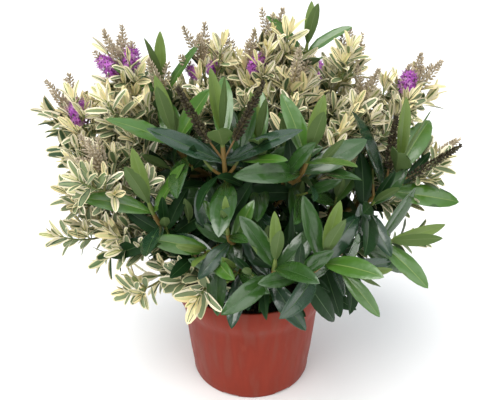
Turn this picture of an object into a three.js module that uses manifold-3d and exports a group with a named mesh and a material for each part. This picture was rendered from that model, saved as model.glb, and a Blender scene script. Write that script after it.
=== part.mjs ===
// A hebe shrub in a round plastic nursery pot. One clump carries two kinds of shoot: small-leaved
// variegated ones, mostly behind and to the left, and plain green ones with long leaves, mostly in
// front and to the right. Both carry flower spikes, some in bloom and most of them over.
//
// Units are millimetres and +Z is up. The front of the plant is -Y. The origin is the centre of the
// pot's flat underside. Each bough leaves the short stem inside the crown, and forks at its tip
// into the stems of its masses. A mass is one stem with side shoots, paired leaves and spikes.

import * as THREE from "three";
import { mergeVertices } from "three/addons/utils/BufferGeometryUtils.js";
import Module from "manifold-3d";

const wasm = await Module();
wasm.setup();

// ---- Driving dimensions ----

const GAP = 0.3; // clear space between neighbouring solids
const LEAST_EDGES = [0.05, 0.08, 0.03, 0.015]; // the shortest edge that a finished solid keeps
const CREASE = 0.6; // the longest edge that is drawn in to close a crease
const TOUCH = 0.004; // corners this near each other become one

const POT = {
  height: 142,
  rimRadius: 95.6,
  bandHeight: 17, // the upright band under the lip
  neckRadius: 86.8,
  neckHeight: 99,
  baseRadius: 77.2,
  baseRounding: 4.5,
  wall: 1.8,
  floor: 2.4,
  facets: 24,
  drainHoles: 3,
  drainRadius: 5.5,
  drainCircle: 50,
};
const SOIL_TOP = 127;
const SOIL_EDGE_DROP = 3;
const FOOT = { radius: 12.5, flareRadius: 17, flareHeight: 7, top: 173, lean: 2, sides: 12 };

// Heights on the foot at which the boughs leave it, lowest first. One more leaves its top.
const RINGS = [133.5, 142.5, 151.5, 159.5];
const BOUGH = { baseRadius: 4, tipRadius: 3.3, sides: 5, steps: 4, outward: 0.72, least: 28, upward: 0.16 };
const FORK = { offset: 2.4, clear: 0.35 };
const STEM_STEPS = 5;

// The two kinds of shoot. Lengths are millimetres and angles degrees. Pairs of leaves are counted
// from the tip of a shoot downwards, and each pair stands a quarter turn from the next.
const VARIEGATED = {
  leafLength: 38,
  leafWidth: 16.5,
  leafThickness: 0.8,
  leafRows: 1,
  leafDroop: 0.06,
  pairSpacing: [2, 8, 12, 15],
  pairSize: [0.7, 1, 1, 0.95],
  pairSpread: [18, 46, 62, 76],
  leaderPairs: 3,
  sidePairs: 2,
  sideShoots: 1,
  sideFrom: 0.66,
  sideStep: 0.2,
  sideLength: 66,
  sideOpen: 44,
  stemRadius: [1.9, 1.75],
  twigRadius: [1.75, 1.6],
  spikeStalk: 12,
  spikeLength: 44,
  spikeRadius: 5.2,
  spikeOpen: 22,
  spikePair: 1,
  bloomPair: 3,
};
const GREEN = {
  leafLength: 78,
  leafWidth: 25,
  leafThickness: 1,
  leafRows: 2,
  leafDroop: 0.2,
  pairSpacing: [3, 12, 20, 25, 27],
  pairSize: [0.78, 0.95, 1.05, 1, 0.95],
  pairSpread: [14, 48, 67, 78, 86],
  leaderPairs: 5,
  sidePairs: 3,
  sideShoots: 0,
  sideFrom: 0.5,
  sideStep: 0.2,
  sideLength: 70,
  sideOpen: 48,
  stemRadius: [2.1, 1.8],
  twigRadius: [1.8, 1.7],
  spikeStalk: 26,
  spikeLength: 66,
  spikeRadius: 5.2,
  spikeOpen: 36,
  spikePair: 2,
};
const BLOOM = { stalk: 9, length: 28, radius: 9.5, tipLength: 14, open: 40 };

// One row for each mass. tip is where its leading shoot ends, lean is that shoot's angle from
// upright, outwards from the pot's axis, and roll turns its leaf pairs about it. size scales its
// leaves. spikes are faded flower spikes, and blooms are spikes in flower.
const row = (name, kind, tip, lean, roll, more = {}) => ({ name, kind, tip, lean, roll, ...more });
const V = VARIEGATED;
const G = GREEN;
const BOUGHS = [
  {
    name: "upper_left",
    ring: 2,
    share: 0.52,
    masses: [
      row("variegated_upper_left_top", V, [-146, 20, 398], 8, 90, { spikes: 2, blooms: 2 }),
      row("variegated_upper_left", V, [-155, -10, 362], 28, 60),
    ],
  },
  {
    name: "left",
    ring: 1,
    share: 0.52,
    masses: [
      row("variegated_left_top", V, [-203, 0, 350], 14, 90, { spikes: 2, blooms: 2 }),
      row("variegated_left_front", V, [-157, -70, 307], 30, 30, { spikes: 2 }),
    ],
  },
  {
    name: "lower_left",
    ring: 0,
    share: 0.5,
    masses: [
      row("variegated_left_middle", V, [-200, 0, 250], 48, 45),
      row("variegated_left_low", V, [-204, -12, 206], 68, 20),
      row("variegated_left_inner", V, [-148, -58, 220], 48, 70, { sides: 0 }),
    ],
  },
  {
    name: "front_left",
    ring: 0,
    share: 0.5,
    masses: [
      row("green_front_left", G, [-108, -90, 282], 16, 90),
      row("variegated_rim_left", V, [-132, -66, 164], 80, 30),
      row("variegated_rim_front", V, [-58, -120, 182], 78, 0, { sides: 0 }),
    ],
  },
  {
    name: "centre_left",
    ring: 3,
    share: 0.5,
    masses: [
      row("green_centre_left", G, [-83, -60, 350], 10, 90),
      row("variegated_centre_left", V, [-102, 10, 368], 12, 0, { spikes: 1, sides: 0 }),
      row("green_top_left", G, [-88, 14, 402], 4, 10, { size: 0.72, pairs: 3 }),
    ],
  },
  {
    name: "centre_front",
    ring: 2,
    share: 0.5,
    masses: [
      row("green_centre", G, [-29, -95, 362], 5, 0, { size: 1.06, spikes: 2 }),
      row("green_centre_young", G, [-24, -130, 272], 14, 40, { size: 0.62, pairs: 3 }),
      row("green_centre_low", G, [-48, -116, 236], 62, 20, { size: 0.9, pairs: 3 }),
    ],
  },
  {
    name: "centre",
    ring: 4,
    share: 0.45,
    masses: [
      row("variegated_top", V, [-57, 32, 400], 8, 90, { spikes: 2, blooms: 2 }),
      row("variegated_top_middle", V, [-6, 24, 394], 4, 80, { spikes: 1, blooms: 2 }),
      row("variegated_back_top", V, [-30, 118, 378], 12, 10, { spikes: 1 }),
    ],
  },
  {
    name: "centre_right",
    ring: 3,
    share: 0.5,
    masses: [
      row("green_centre_back", G, [8, -66, 343], 4, 180, { size: 0.9, pairs: 4 }),
      row("green_centre_right", G, [59, -95, 342], 14, 35),
      row("variegated_centre_right", V, [46, -14, 385], 6, 0, { spikes: 1, sides: 0 }),
    ],
  },
  {
    name: "top_right",
    ring: 3,
    share: 0.52,
    masses: [
      row("variegated_top_right", V, [32, 30, 414], 4, 70, { spikes: 2 }),
      row("green_top_right", G, [66, 22, 422], 8, 100, { size: 0.8, pairs: 4 }),
      row("variegated_right_top", V, [108, 30, 402], 12, 10, { spikes: 2 }),
    ],
  },
  {
    name: "upper_right",
    ring: 2,
    share: 0.48,
    masses: [
      row("variegated_upper_right", V, [190, 20, 366], 16, 80, { spikes: 2, blooms: 1 }),
      row("variegated_right_middle", V, [124, 2, 360], 12, 60, { spikes: 2, sides: 0 }),
      row("variegated_right_inner", V, [94, -34, 330], 24, 30, { sides: 0 }),
    ],
  },
  {
    name: "right",
    ring: 1,
    share: 0.5,
    masses: [
      row("green_right", G, [160, -42, 306], 8, 0, { size: 1.1, spikes: 2 }),
      row("variegated_right", V, [210, 4, 280], 42, 20, { spikes: 1 }),
    ],
  },
  {
    name: "front",
    ring: 0,
    share: 0.5,
    masses: [
      row("green_front", G, [24, -146, 246], 12, 45, { size: 0.88, pairs: 4 }),
      row("green_front_right", G, [74, -142, 250], 14, 80, { pairs: 4 }),
      row("green_rim_front", G, [-20, -118, 210], 56, 45, { size: 0.85, pairs: 3 }),
    ],
  },
  {
    name: "lower_right",
    ring: 0,
    share: 0.5,
    masses: [
      row("green_right_middle", G, [158, -66, 240], 70, 20, { size: 0.95 }),
      row("variegated_right_low", V, [204, -12, 200], 62, 0),
      row("green_right_low", G, [106, -110, 208], 72, 50, { size: 0.95, pairs: 4 }),
    ],
  },
  {
    name: "back_left",
    ring: 1,
    share: 0.5,
    masses: [
      row("variegated_back_left_top", V, [-122, 98, 348], 18, 0, { spikes: 2 }),
      row("variegated_back_left", V, [-180, 92, 262], 44, 40, { spikes: 1 }),
      row("green_back_left", G, [-78, 166, 250], 48, 0),
    ],
  },
  {
    name: "back_right",
    ring: 1,
    share: 0.5,
    masses: [
      row("variegated_back_right_top", V, [100, 104, 362], 14, 90, { spikes: 1, blooms: 2 }),
      row("variegated_back_right", V, [168, 108, 268], 42, 30, { spikes: 1 }),
      row("green_back_right", G, [50, 168, 292], 30, 0, { spikes: 1 }),
    ],
  },
];

const COLOURS = {
  pot: [0x9a4a35, 0.42],
  soil: [0x241a14, 0.95],
  bark: [0x6f5436, 0.85],
  variegated: [0xb9b27a, 0.6],
  green: [0x3f6b2c, 0.45],
};

// ---- Small helpers ----

const radians = THREE.MathUtils.degToRad;
const vector = (x, y, z) => new THREE.Vector3(x, y, z);
const along = (from, direction, distance) => from.clone().addScaledVector(direction, distance);
const UP = vector(0, 0, 1);
const FRONT_TO_BACK = vector(0, 1, 0);

// A repeatable run of numbers from 0 to 1.
function seeded(seed) {
  let state = (seed * 2654435761) >>> 0;
  return () => {
    state = (Math.imul(state, 1664525) + 1013904223) >>> 0;
    return state / 4294967296;
  };
}

// Two directions square to a stem: the first runs to the left where the stem stands upright, and
// the second to the front.
function acrossStem(direction) {
  const left = new THREE.Vector3().crossVectors(direction, FRONT_TO_BACK).normalize();
  const front = new THREE.Vector3().crossVectors(direction, left).negate();
  return [left, front.negate()];
}

function aroundStem(direction, degrees) {
  const [left, front] = acrossStem(direction);
  const angle = radians(degrees);
  return left.multiplyScalar(Math.cos(angle)).addScaledVector(front, Math.sin(angle));
}

// Opens a side direction away from a stem by an angle.
function opened(direction, side, degrees) {
  const angle = radians(degrees);
  return direction.clone().multiplyScalar(Math.cos(angle)).addScaledVector(side, Math.sin(angle));
}

function geometryOf(points, faces) {
  const geometry = new THREE.BufferGeometry();
  geometry.setAttribute(
    "position",
    new THREE.Float32BufferAttribute(points.flatMap((p) => [p.x, p.y, p.z]), 3),
  );
  geometry.setIndex(faces.flat());
  return geometry;
}

function solidOf(geometry) {
  const bare = geometry.clone();
  bare.deleteAttribute("normal");
  bare.deleteAttribute("uv");
  const merged = mergeVertices(bare, 1e-4);
  return new wasm.Manifold(
    new wasm.Mesh({
      numProp: 3,
      vertProperties: new Float32Array(merged.attributes.position.array),
      triVerts: new Uint32Array(merged.index.array),
    }),
  );
}

// Draws the ends of every edge shorter than a least length together and drops the faces that
// vanish, as booleans leave slivers that a solid file can't hold. Where two short edges of a narrow
// crease fall together they are drawn in too, and where two long ones do the next length is tried.
function withoutSlivers(solid) {
  const { triVerts, numProp, numVert, vertProperties } = solid.getMesh();
  const corner = (i) => vector(...vertProperties.slice(i * numProp, i * numProp + 3));
  const lengthOf = ([a, b]) => corner(a).distanceTo(corner(b));
  for (const least of LEAST_EDGES) {
    const joined = Array.from({ length: numVert }, (_, i) => i);
    const rootOf = (i) => (joined[i] === i ? i : rootOf(joined[i]));
    const join = ([a, b]) => {
      joined[rootOf(a)] = rootOf(b);
    };
    const met = new Map();
    joined.forEach((_, i) => {
      const key = corner(i).toArray().map((value) => Math.round(value / TOUCH)).join();
      if (met.has(key)) join([i, met.get(key)]);
      met.set(key, i);
    });
    let doubled = [];
    let faces = [];
    for (let pass = 0; pass < 5; pass += 1) {
      const edges = new Map();
      faces = [];
      for (let f = 0; f < triVerts.length; f += 3) {
        const face = [0, 1, 2].map((i) => rootOf(triVerts[f + i]));
        if (new Set(face).size < 3) continue;
        faces.push(face);
        face.forEach((a, i) => {
          const edge = [a, face[(i + 1) % 3]];
          edges.set(edge.join(), [...(edges.get(edge.join()) ?? []), edge]);
        });
      }
      doubled = [...edges.values()].filter((same) => same.length > 1).map((same) => same[0]);
      const short = [...edges.values()].map((same) => same[0]).filter((edge) => lengthOf(edge) < least);
      const closing = [...short, ...doubled.filter((edge) => lengthOf(edge) < CREASE)];
      if (closing.length === 0) break;
      closing.forEach(join);
    }
    if (doubled.length > 0) continue;
    const used = [...new Set(faces.flat())];
    const order = new Map(used.map((vertex, i) => [vertex, i]));
    return new wasm.Manifold(
      new wasm.Mesh({
        numProp: 3,
        vertProperties: new Float32Array(used.flatMap((vertex) => corner(vertex).toArray())),
        triVerts: new Uint32Array(faces.flat().map((vertex) => order.get(vertex))),
      }),
    );
  }
  throw new Error("a solid has a crease that no length closes");
}

function meshOf(name, solid, [colour, roughness]) {
  const mesh = solid.getMesh();
  const geometry = new THREE.BufferGeometry();
  geometry.setAttribute("position", new THREE.BufferAttribute(mesh.vertProperties, 3));
  geometry.setIndex(new THREE.BufferAttribute(mesh.triVerts, 1));
  geometry.computeVertexNormals();
  const material = new THREE.MeshStandardMaterial({ color: colour, roughness, metalness: 0 });
  const made = new THREE.Mesh(geometry, material);
  made.name = name;
  return made;
}

// ---- Shapes ----

// A closed limb with flat ends: one ring of corners at each point of its path. The middles of its
// faces lie at the angle roll around it, and at even steps from there.
function limb(path, radii, sides, roll = 0) {
  const points = [];
  path.forEach((centre, i) => {
    const before = path[Math.max(i - 1, 0)];
    const after = path[Math.min(i + 1, path.length - 1)];
    const tangent = after.clone().sub(before).normalize();
    for (let k = 0; k < sides; k += 1) {
      const corner = aroundStem(tangent, roll + (360 / sides) * (k + 0.5));
      points.push(along(centre, corner, radii[i]));
    }
  });
  const faces = [];
  for (let i = 0; i + 1 < path.length; i += 1) {
    for (let k = 0; k < sides; k += 1) {
      const a = i * sides + k;
      const b = i * sides + ((k + 1) % sides);
      faces.push([a, b, b + sides], [a, b + sides, a + sides]);
    }
  }
  const last = (path.length - 1) * sides;
  for (let k = 1; k + 1 < sides; k += 1) {
    faces.push([0, k + 1, k], [last, last + k, last + k + 1]);
  }
  return solidOf(geometryOf(points, faces));
}

// A leaf: a stalk end, one or two rows and a pointed tip, which droops. A row has three corners,
// the two edges and the keel under the midrib. grown makes it larger all round.
function leafBlade({ base, direction, upper, length, width, thickness, droop, rows }, from = 0, grown = 0) {
  const side = new THREE.Vector3().crossVectors(direction, upper);
  const centre = (t) => along(along(base, direction, length * t), upper, -droop * length * t * t);
  const points = [];
  const corners = (t, half, thick, fold) => {
    const edge = along(centre(t), upper, fold + grown);
    points.push(along(edge, side, half + grown));
    points.push(along(centre(t), upper, -thick - grown));
    points.push(along(edge, side, -half - grown));
  };
  corners(from, 0.5 + from * width * 0.7, 0.45, 0.2);
  if (rows === 1) {
    corners(0.54, width / 2, thickness, width * 0.06);
  } else {
    corners(0.34, width * 0.47, thickness, width * 0.06);
    corners(0.7, width * 0.41, thickness, width * 0.06);
  }
  points.push(along(centre(1), direction, 2 * grown));
  const tip = 3 * (rows + 1);
  const faces = [[0, 2, 1]];
  for (let k = 0; k < 3; k += 1) {
    const next = (k + 1) % 3;
    for (let r = 0; r < tip - 3; r += 3) {
      faces.push([r + k, r + next, r + 3 + next], [r + k, r + 3 + next, r + 3 + k]);
    }
    faces.push([tip - 3 + k, tip - 3 + next, tip]);
  }
  return solidOf(geometryOf(points, faces));
}

// A flower spike on its stalk: a tapering row of swellings.
const SPIKE_PROFILE = [
  [0, 0.3],
  [0.16, 1],
  [0.55, 0.8],
  [1, 0.14],
];
function spike(base, direction, stalk, length, radius, stalkRadius, sides) {
  const path = [base];
  const radii = [stalkRadius];
  SPIKE_PROFILE.forEach(([t, r]) => {
    path.push(along(base, direction, stalk + length * t));
    radii.push(radius * r);
  });
  return limb(path, radii, sides);
}

// A spike in flower: a full barrel of blossom with the bare tip of the spike above it.
const BLOOM_PROFILE = [
  [0, 0.3],
  [0.2, 1],
  [0.65, 0.95],
  [1, 0.4],
];
function bloom(base, direction, stalk, stalkRadius, sides) {
  const path = [base];
  const radii = [stalkRadius];
  BLOOM_PROFILE.forEach(([t, r]) => {
    path.push(along(base, direction, stalk + BLOOM.length * t));
    radii.push(BLOOM.radius * r);
  });
  path.push(along(base, direction, stalk + BLOOM.length + BLOOM.tipLength));
  radii.push(0.8);
  return limb(path, radii, sides);
}

// ---- The growth rule ----

const curvePoints = (curve, steps) => curve.getPoints(steps);
const taper = (radii, steps) =>
  Array.from({ length: steps + 1 }, (_, i) => THREE.MathUtils.lerp(radii[0], radii[1], i / steps));

function forkOf(bough) {
  const top = vector(FOOT.lean, 0, FOOT.top + 1);
  const start = bough.ring < RINGS.length ? vector(0, 0, RINGS[bough.ring]) : top;
  const middle = vector(0, 0, 0);
  bough.masses.forEach((mass) => middle.add(vector(...mass.tip)));
  middle.divideScalar(bough.masses.length);
  return [start, start.clone().lerp(middle, bough.share)];
}

function boughCurve(bough) {
  const [start, fork] = forkOf(bough);
  const reach = fork.clone().sub(start);
  const across = vector(reach.x, reach.y, 0);
  const least = bough.ring < RINGS.length ? BOUGH.least : 0;
  const control = along(start, across.clone().normalize(), Math.max(across.length() * BOUGH.outward, least));
  control.z += reach.z * BOUGH.upward;
  return new THREE.QuadraticBezierCurve3(start, control, fork);
}

// The leading stem of each mass of a bough: they leave its tip side by side.
function stemCurves(bough, curve) {
  const fork = curve.getPoint(1);
  const direction = curve.getTangent(1);
  const [left, front] = acrossStem(direction);
  const order = bough.masses.map((mass) => {
    const towards = vector(...mass.tip).sub(fork);
    return Math.atan2(towards.dot(front), towards.dot(left));
  });
  const ranked = order.map((_, i) => i).sort((a, b) => order[a] - order[b]);
  const count = bough.masses.length;
  const turn = ranked.reduce((sum, i, place) => sum + order[i] - (2 * Math.PI * place) / count, 0) / count;
  return bough.masses.map((mass, i) => {
    const angle = turn + (2 * Math.PI * ranked.indexOf(i)) / count;
    const radius = mass.kind.stemRadius[0];
    const aside = left.clone().multiplyScalar(Math.cos(angle)).addScaledVector(front, Math.sin(angle));
    const tip = vector(...mass.tip);
    const towards = tip.clone().sub(fork).normalize();
    const leave = along(along(direction, towards, 0.6), aside, 0.35).normalize();
    const span = tip.distanceTo(fork);
    const outward = vector(tip.x, tip.y, 0).normalize();
    const end = opened(UP, outward, mass.lean);
    const curveFrom = (start) =>
      new THREE.CubicBezierCurve3(
        start,
        along(start, leave, span * 0.3),
        along(tip, end, -span * 0.4),
        tip,
      );
    // Raised until the low corner of its foot is just clear of the bough's flat end.
    const start = along(fork, aside, FORK.offset);
    const chord = curveFrom(start).getPoint(1 / STEM_STEPS).sub(start).normalize();
    const tilt = Math.sqrt(1 - Math.min(1, chord.dot(direction)) ** 2);
    return curveFrom(along(start, direction, FORK.clear + radius * 0.9 * tilt));
  });
}

// The leaves, spikes and blooms of one shoot, from its tip down.
function dress(shoot) {
  const { curve, kind, roll, size, pairs, spikes, blooms } = shoot;
  const length = curve.getLength();
  const parts = [];
  let distance = 0;
  for (let i = 0; i < pairs; i += 1) {
    distance += kind.pairSpacing[i] * Math.sqrt(size);
    const t = 1 - distance / length;
    if (t < 0.06) break;
    const direction = curve.getTangentAt(t);
    // The second leaf of a pair sits a little lower and not quite opposite the first.
    [0, 184].forEach((half, side) => {
      const base = along(curve.getPointAt(t), direction, -0.6 * side);
      const outward = aroundStem(direction, roll + 90 * i + half);
      const leafDirection = opened(direction, outward, kind.pairSpread[i]);
      const upper = opened(direction, outward, kind.pairSpread[i] + 90).negate();
      const leafLength = kind.leafLength * kind.pairSize[i] * size;
      parts.push({
        type: "leaf",
        base,
        direction: leafDirection,
        upper,
        length: leafLength,
        width: kind.leafWidth * kind.pairSize[i] * size * (i === 0 ? 0.8 : 1),
        thickness: kind.leafThickness,
        droop: kind.leafDroop * Math.min(1, i / 2),
        rows: kind.leafRows,
      });
      const above = along(base, direction, 3);
      const spikeNumber = 2 * (i - kind.spikePair) + side;
      const bloomNumber = 2 * (i - kind.bloomPair) + side;
      if (spikeNumber >= 0 && spikeNumber < spikes) {
        parts.push({ type: "spike", base: above, direction: opened(direction, outward, kind.spikeOpen), kind });
      } else if (bloomNumber >= 0 && bloomNumber < blooms) {
        parts.push({ type: "bloom", base: above, direction: opened(direction, outward, BLOOM.open), kind });
      }
    });
  }
  return parts;
}

// Side shoots leave the leading stem by turns, and bend up.
function sideShoots(mass, curve, seed) {
  const random = seeded(seed);
  const { kind, sides = kind.sideShoots } = mass;
  return Array.from({ length: sides }, (_, k) => {
    const t = kind.sideFrom - kind.sideStep * k;
    const turn = mass.roll + 45 + 137.5 * k + 60 * (random() - 0.5);
    const length = kind.sideLength * (0.85 + 0.3 * random());
    const base = curve.getPointAt(t);
    const direction = curve.getTangentAt(t);
    const leaving = opened(direction, aroundStem(direction, turn), kind.sideOpen);
    const rising = leaving.clone().addScaledVector(UP, 0.45).normalize();
    return new THREE.QuadraticBezierCurve3(
      base,
      along(base, leaving, length * 0.5),
      along(base, rising, length),
    );
  });
}

// ---- Assembly ----

// Everything placed so far: what a new twig or leaf has to stay clear of.
const placed = [];

function place(owner, solid) {
  placed.push({ owner, solid, box: solid.boundingBox() });
}

const boxesMeet = (a, b) => [0, 1, 2].every((i) => a.min[i] <= b.max[i] && b.min[i] <= a.max[i]);

function meets(solid, chosen) {
  const box = solid.boundingBox();
  return placed.some(
    (item) => chosen(item.owner) && boxesMeet(item.box, box) && !solid.intersect(item.solid).isEmpty(),
  );
}

// The pot's outer radius at a height, where it widens from the neck to the band.
function flareRadius(height) {
  const t = (height - POT.neckHeight) / (POT.height - POT.bandHeight - POT.neckHeight);
  return THREE.MathUtils.lerp(POT.neckRadius, POT.rimRadius - 0.8, t * t * (3 - 2 * t));
}

function turned(profile) {
  const points = profile.map(([r, z]) => new THREE.Vector2(r, z));
  return solidOf(new THREE.LatheGeometry(points, POT.facets).rotateX(Math.PI / 2));
}

function potSolid() {
  const { height, rimRadius, bandHeight, neckRadius, neckHeight, baseRadius, baseRounding, wall, floor } = POT;
  const bandFoot = height - bandHeight;
  const middle = (neckHeight + bandFoot) / 2;
  let pot = turned([
    [0, 0],
    [baseRadius - baseRounding, 0],
    [baseRadius, baseRounding],
    [neckRadius, neckHeight],
    [flareRadius(middle), middle],
    [rimRadius - 0.8, bandFoot],
    [rimRadius, bandFoot + 1.5],
    [rimRadius, height - 1],
    [rimRadius - 1, height],
    [rimRadius - wall - 0.8, height],
    [rimRadius - wall - 0.8, bandFoot],
    [flareRadius(middle) - wall, middle],
    [neckRadius - wall, neckHeight],
    [baseRadius - wall, baseRounding + 1],
    [baseRadius - baseRounding, floor],
    [0, floor],
  ]);
  for (let k = 0; k < POT.drainHoles; k += 1) {
    const angle = (2 * Math.PI * k) / POT.drainHoles;
    const hole = new THREE.CylinderGeometry(POT.drainRadius, POT.drainRadius, 12, 7).rotateX(Math.PI / 2);
    hole.translate(POT.drainCircle * Math.cos(angle), POT.drainCircle * Math.sin(angle), 0);
    pot = pot.subtract(solidOf(hole));
  }
  return pot;
}

function soilSolid() {
  const { neckRadius, neckHeight, baseRadius, baseRounding, wall, floor } = POT;
  const edge = SOIL_TOP - SOIL_EDGE_DROP;
  const clear = wall + GAP + 0.1;
  return turned([
    [0, floor + GAP],
    [baseRadius - baseRounding, floor + GAP],
    [baseRadius - clear, baseRounding + 1.2],
    [neckRadius - clear, neckHeight],
    [flareRadius(edge) - clear, edge],
    [FOOT.flareRadius + 18, SOIL_TOP],
    [0, SOIL_TOP],
  ]);
}

function footSolid(grown = 0) {
  const base = SOIL_TOP + GAP;
  const path = [
    vector(0, 0, base - grown),
    vector(0, 0, base + FOOT.flareHeight),
    vector(FOOT.lean * 0.5, 0, (base + FOOT.top) / 2),
    vector(FOOT.lean, 0, FOOT.top - 4),
    vector(FOOT.lean, 0, FOOT.top + grown),
  ];
  const radii = [FOOT.flareRadius, FOOT.radius + 1.5, FOOT.radius, FOOT.radius - 1.5, FOOT.radius - 4];
  return limb(path, radii.map((r) => r + grown), FOOT.sides);
}

const group = new THREE.Group();
const pot = potSolid();
const soil = soilSolid();
const foot = footSolid();
const cleared = footSolid(GAP);
[pot, soil, foot].forEach((solid) => place("fixed", solid));
group.add(meshOf("pot", pot, COLOURS.pot));
group.add(meshOf("potting_mix", soil, COLOURS.soil));
group.add(meshOf("foot_stem", foot, COLOURS.bark));

// Boughs and leading stems first, so that every leaf can be kept clear of them.
const masses = [];
BOUGHS.forEach((bough) => {
  const curve = boughCurve(bough);
  const radii = taper([BOUGH.baseRadius, BOUGH.tipRadius], BOUGH.steps);
  const whole = limb(curvePoints(curve, BOUGH.steps), radii, BOUGH.sides);
  const pieces = whole.subtract(cleared).decompose();
  const solid = pieces.sort((a, b) => b.volume() - a.volume())[0];
  place("bough_" + bough.name, solid);
  group.add(meshOf("bough_" + bough.name, withoutSlivers(solid.simplify(0.02)), COLOURS.bark));
  stemCurves(bough, curve).forEach((stem, i) => {
    const mass = bough.masses[i];
    const path = curvePoints(stem, STEM_STEPS);
    const leader = limb(path, taper(mass.kind.stemRadius, STEM_STEPS), 4, mass.roll);
    place(mass.name, leader);
    masses.push({ ...mass, stem, solids: [leader], seed: masses.length + 1, shoots: [] });
  });
});

// Then the side shoots, each skipped where it would touch another limb.
masses.forEach((mass) => {
  const { kind, roll, size = 1, spikes = 0, blooms = 0 } = mass;
  const { pairs = kind.leaderPairs + (blooms > 0 ? 1 : 0) } = mass;
  mass.shoots.push({ curve: mass.stem, kind, roll, size, pairs, spikes, blooms });
  sideShoots(mass, mass.stem, mass.seed).forEach((curve, k) => {
    const steps = 3;
    const path = curvePoints(curve, steps);
    const shootRoll = roll + 45 * (k + 1);
    const twig = limb(path, taper(kind.twigRadius, steps), 4, shootRoll);
    const beyond = [curve.getPoint(0.07), ...path.slice(1)];
    const roomy = limb(beyond, taper([2.5, 2.5], steps), 4);
    if (meets(roomy, (owner) => owner !== mass.name)) return;
    place(mass.name, twig);
    mass.solids.push(twig);
    mass.shoots.push({ curve, kind, roll: shootRoll, size: size * 0.92, pairs: kind.sidePairs, spikes: 0, blooms: 0 });
  });
});

// Last the spikes and leaves, from each tip down. One that would touch another mass, a limb, the
// pot or, beyond its root, its own mass is skipped.
function solidOfPart(part, extra) {
  if (part.type === "leaf") {
    return leafBlade(part, 0, extra / 2);
  }
  const { base, direction, kind } = part;
  const stalkRadius = 0.95 + extra / 2;
  if (part.type === "bloom") return bloom(base, direction, BLOOM.stalk, stalkRadius, 5);
  const radius = kind.spikeRadius + extra / 2;
  return spike(base, direction, kind.spikeStalk, kind.spikeLength, radius, stalkRadius, 4);
}

function outerPartOf(part) {
  if (part.type === "leaf") return leafBlade(part, 0.2);
  const stalk = part.type === "bloom" ? BLOOM.stalk : part.kind.spikeStalk;
  const base = along(part.base, part.direction, stalk - 1);
  if (part.type === "bloom") return bloom(base, part.direction, 1, 1, 5);
  return spike(base, part.direction, 1, part.kind.spikeLength, part.kind.spikeRadius, 1, 4);
}

function tryPart(mass, part) {
  if (meets(solidOfPart(part, 0.9), (owner) => owner !== mass.name)) return;
  if (meets(outerPartOf(part), (owner) => owner === mass.name)) return;
  const solid = solidOfPart(part, 0);
  place(mass.name, solid);
  mass.solids.push(solid);
}

masses.forEach((mass) => {
  mass.parts = mass.shoots.flatMap((shoot) => dress(shoot));
});
const spikesOf = (mass) => mass.parts.filter((part) => part.type !== "leaf");
const leavesOf = (mass) => mass.parts.filter((part) => part.type === "leaf");
const greenFirst = [GREEN, VARIEGATED].flatMap((kind) => masses.filter((mass) => mass.kind === kind));
masses.forEach((mass) => spikesOf(mass).forEach((part) => tryPart(mass, part)));
greenFirst.forEach((mass) => leavesOf(mass).forEach((part) => tryPart(mass, part)));
masses.forEach((mass) => {
  const whole = wasm.Manifold.union(mass.solids);
  const colour = mass.kind === VARIEGATED ? COLOURS.variegated : COLOURS.green;
  const body = withoutSlivers(whole.simplify(0.02)).decompose().sort((a, b) => b.volume() - a.volume())[0];
  group.add(meshOf(mass.name, body, colour));
});

export default group;
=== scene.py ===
"""Dresses the potted hebe shrub: pot, potting mix, bark, stems, leaves, flower spikes and stage.

One clump in a nursery pot carries small variegated shoots and long-leaved green ones. Every shoot
grows by the rule of the solids: a bough leaves the foot stem and forks into leading stems, a stem
bears side shoots by turns, and every shoot bears crossed pairs of leaves from its tip down. Here
the rule is carried on to finer twigs, smaller leaves, capsules and florets. Growth is worked out in
millimetres, and meshes are made in metres.
"""

import math
import random

import bmesh
import bpy
import numpy as np
from bpy.props import FloatProperty, FloatVectorProperty, IntProperty, PointerProperty
from mathutils import Matrix, Vector


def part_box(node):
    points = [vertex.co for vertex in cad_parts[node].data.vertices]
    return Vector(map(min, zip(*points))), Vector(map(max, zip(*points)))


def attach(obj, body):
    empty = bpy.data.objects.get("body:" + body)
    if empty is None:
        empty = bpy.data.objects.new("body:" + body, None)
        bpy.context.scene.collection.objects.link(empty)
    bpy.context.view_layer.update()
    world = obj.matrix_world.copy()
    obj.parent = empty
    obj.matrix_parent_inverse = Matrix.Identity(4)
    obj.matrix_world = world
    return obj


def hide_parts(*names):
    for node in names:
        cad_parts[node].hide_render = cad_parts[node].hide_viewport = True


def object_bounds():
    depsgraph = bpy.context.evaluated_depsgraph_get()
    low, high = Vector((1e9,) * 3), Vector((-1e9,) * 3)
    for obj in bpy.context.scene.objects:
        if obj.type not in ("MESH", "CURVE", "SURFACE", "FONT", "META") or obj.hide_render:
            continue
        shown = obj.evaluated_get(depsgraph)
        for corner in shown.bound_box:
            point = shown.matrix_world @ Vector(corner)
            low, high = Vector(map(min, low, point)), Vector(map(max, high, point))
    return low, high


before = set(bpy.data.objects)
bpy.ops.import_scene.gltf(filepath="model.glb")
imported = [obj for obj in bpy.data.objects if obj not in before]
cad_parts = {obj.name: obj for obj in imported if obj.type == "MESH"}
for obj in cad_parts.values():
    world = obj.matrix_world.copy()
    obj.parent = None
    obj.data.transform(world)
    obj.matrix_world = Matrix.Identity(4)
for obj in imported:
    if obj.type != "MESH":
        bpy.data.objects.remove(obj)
CAD_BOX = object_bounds()

bl_info = {
    "name": "Potted Hebe Shrub",
    "version": (1, 0, 0),
    "blender": (4, 5, 0),
    "location": "View3D > Sidebar > Hebe",
    "description": "Makes a hebe shrub with variegated and green shoots in a nursery pot",
    "category": "Add Mesh",
}

MM = 0.001
BODY = "root"
UP = np.array([0.0, 0.0, 1.0])
BACK = np.array([0.0, 1.0, 0.0])

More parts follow.
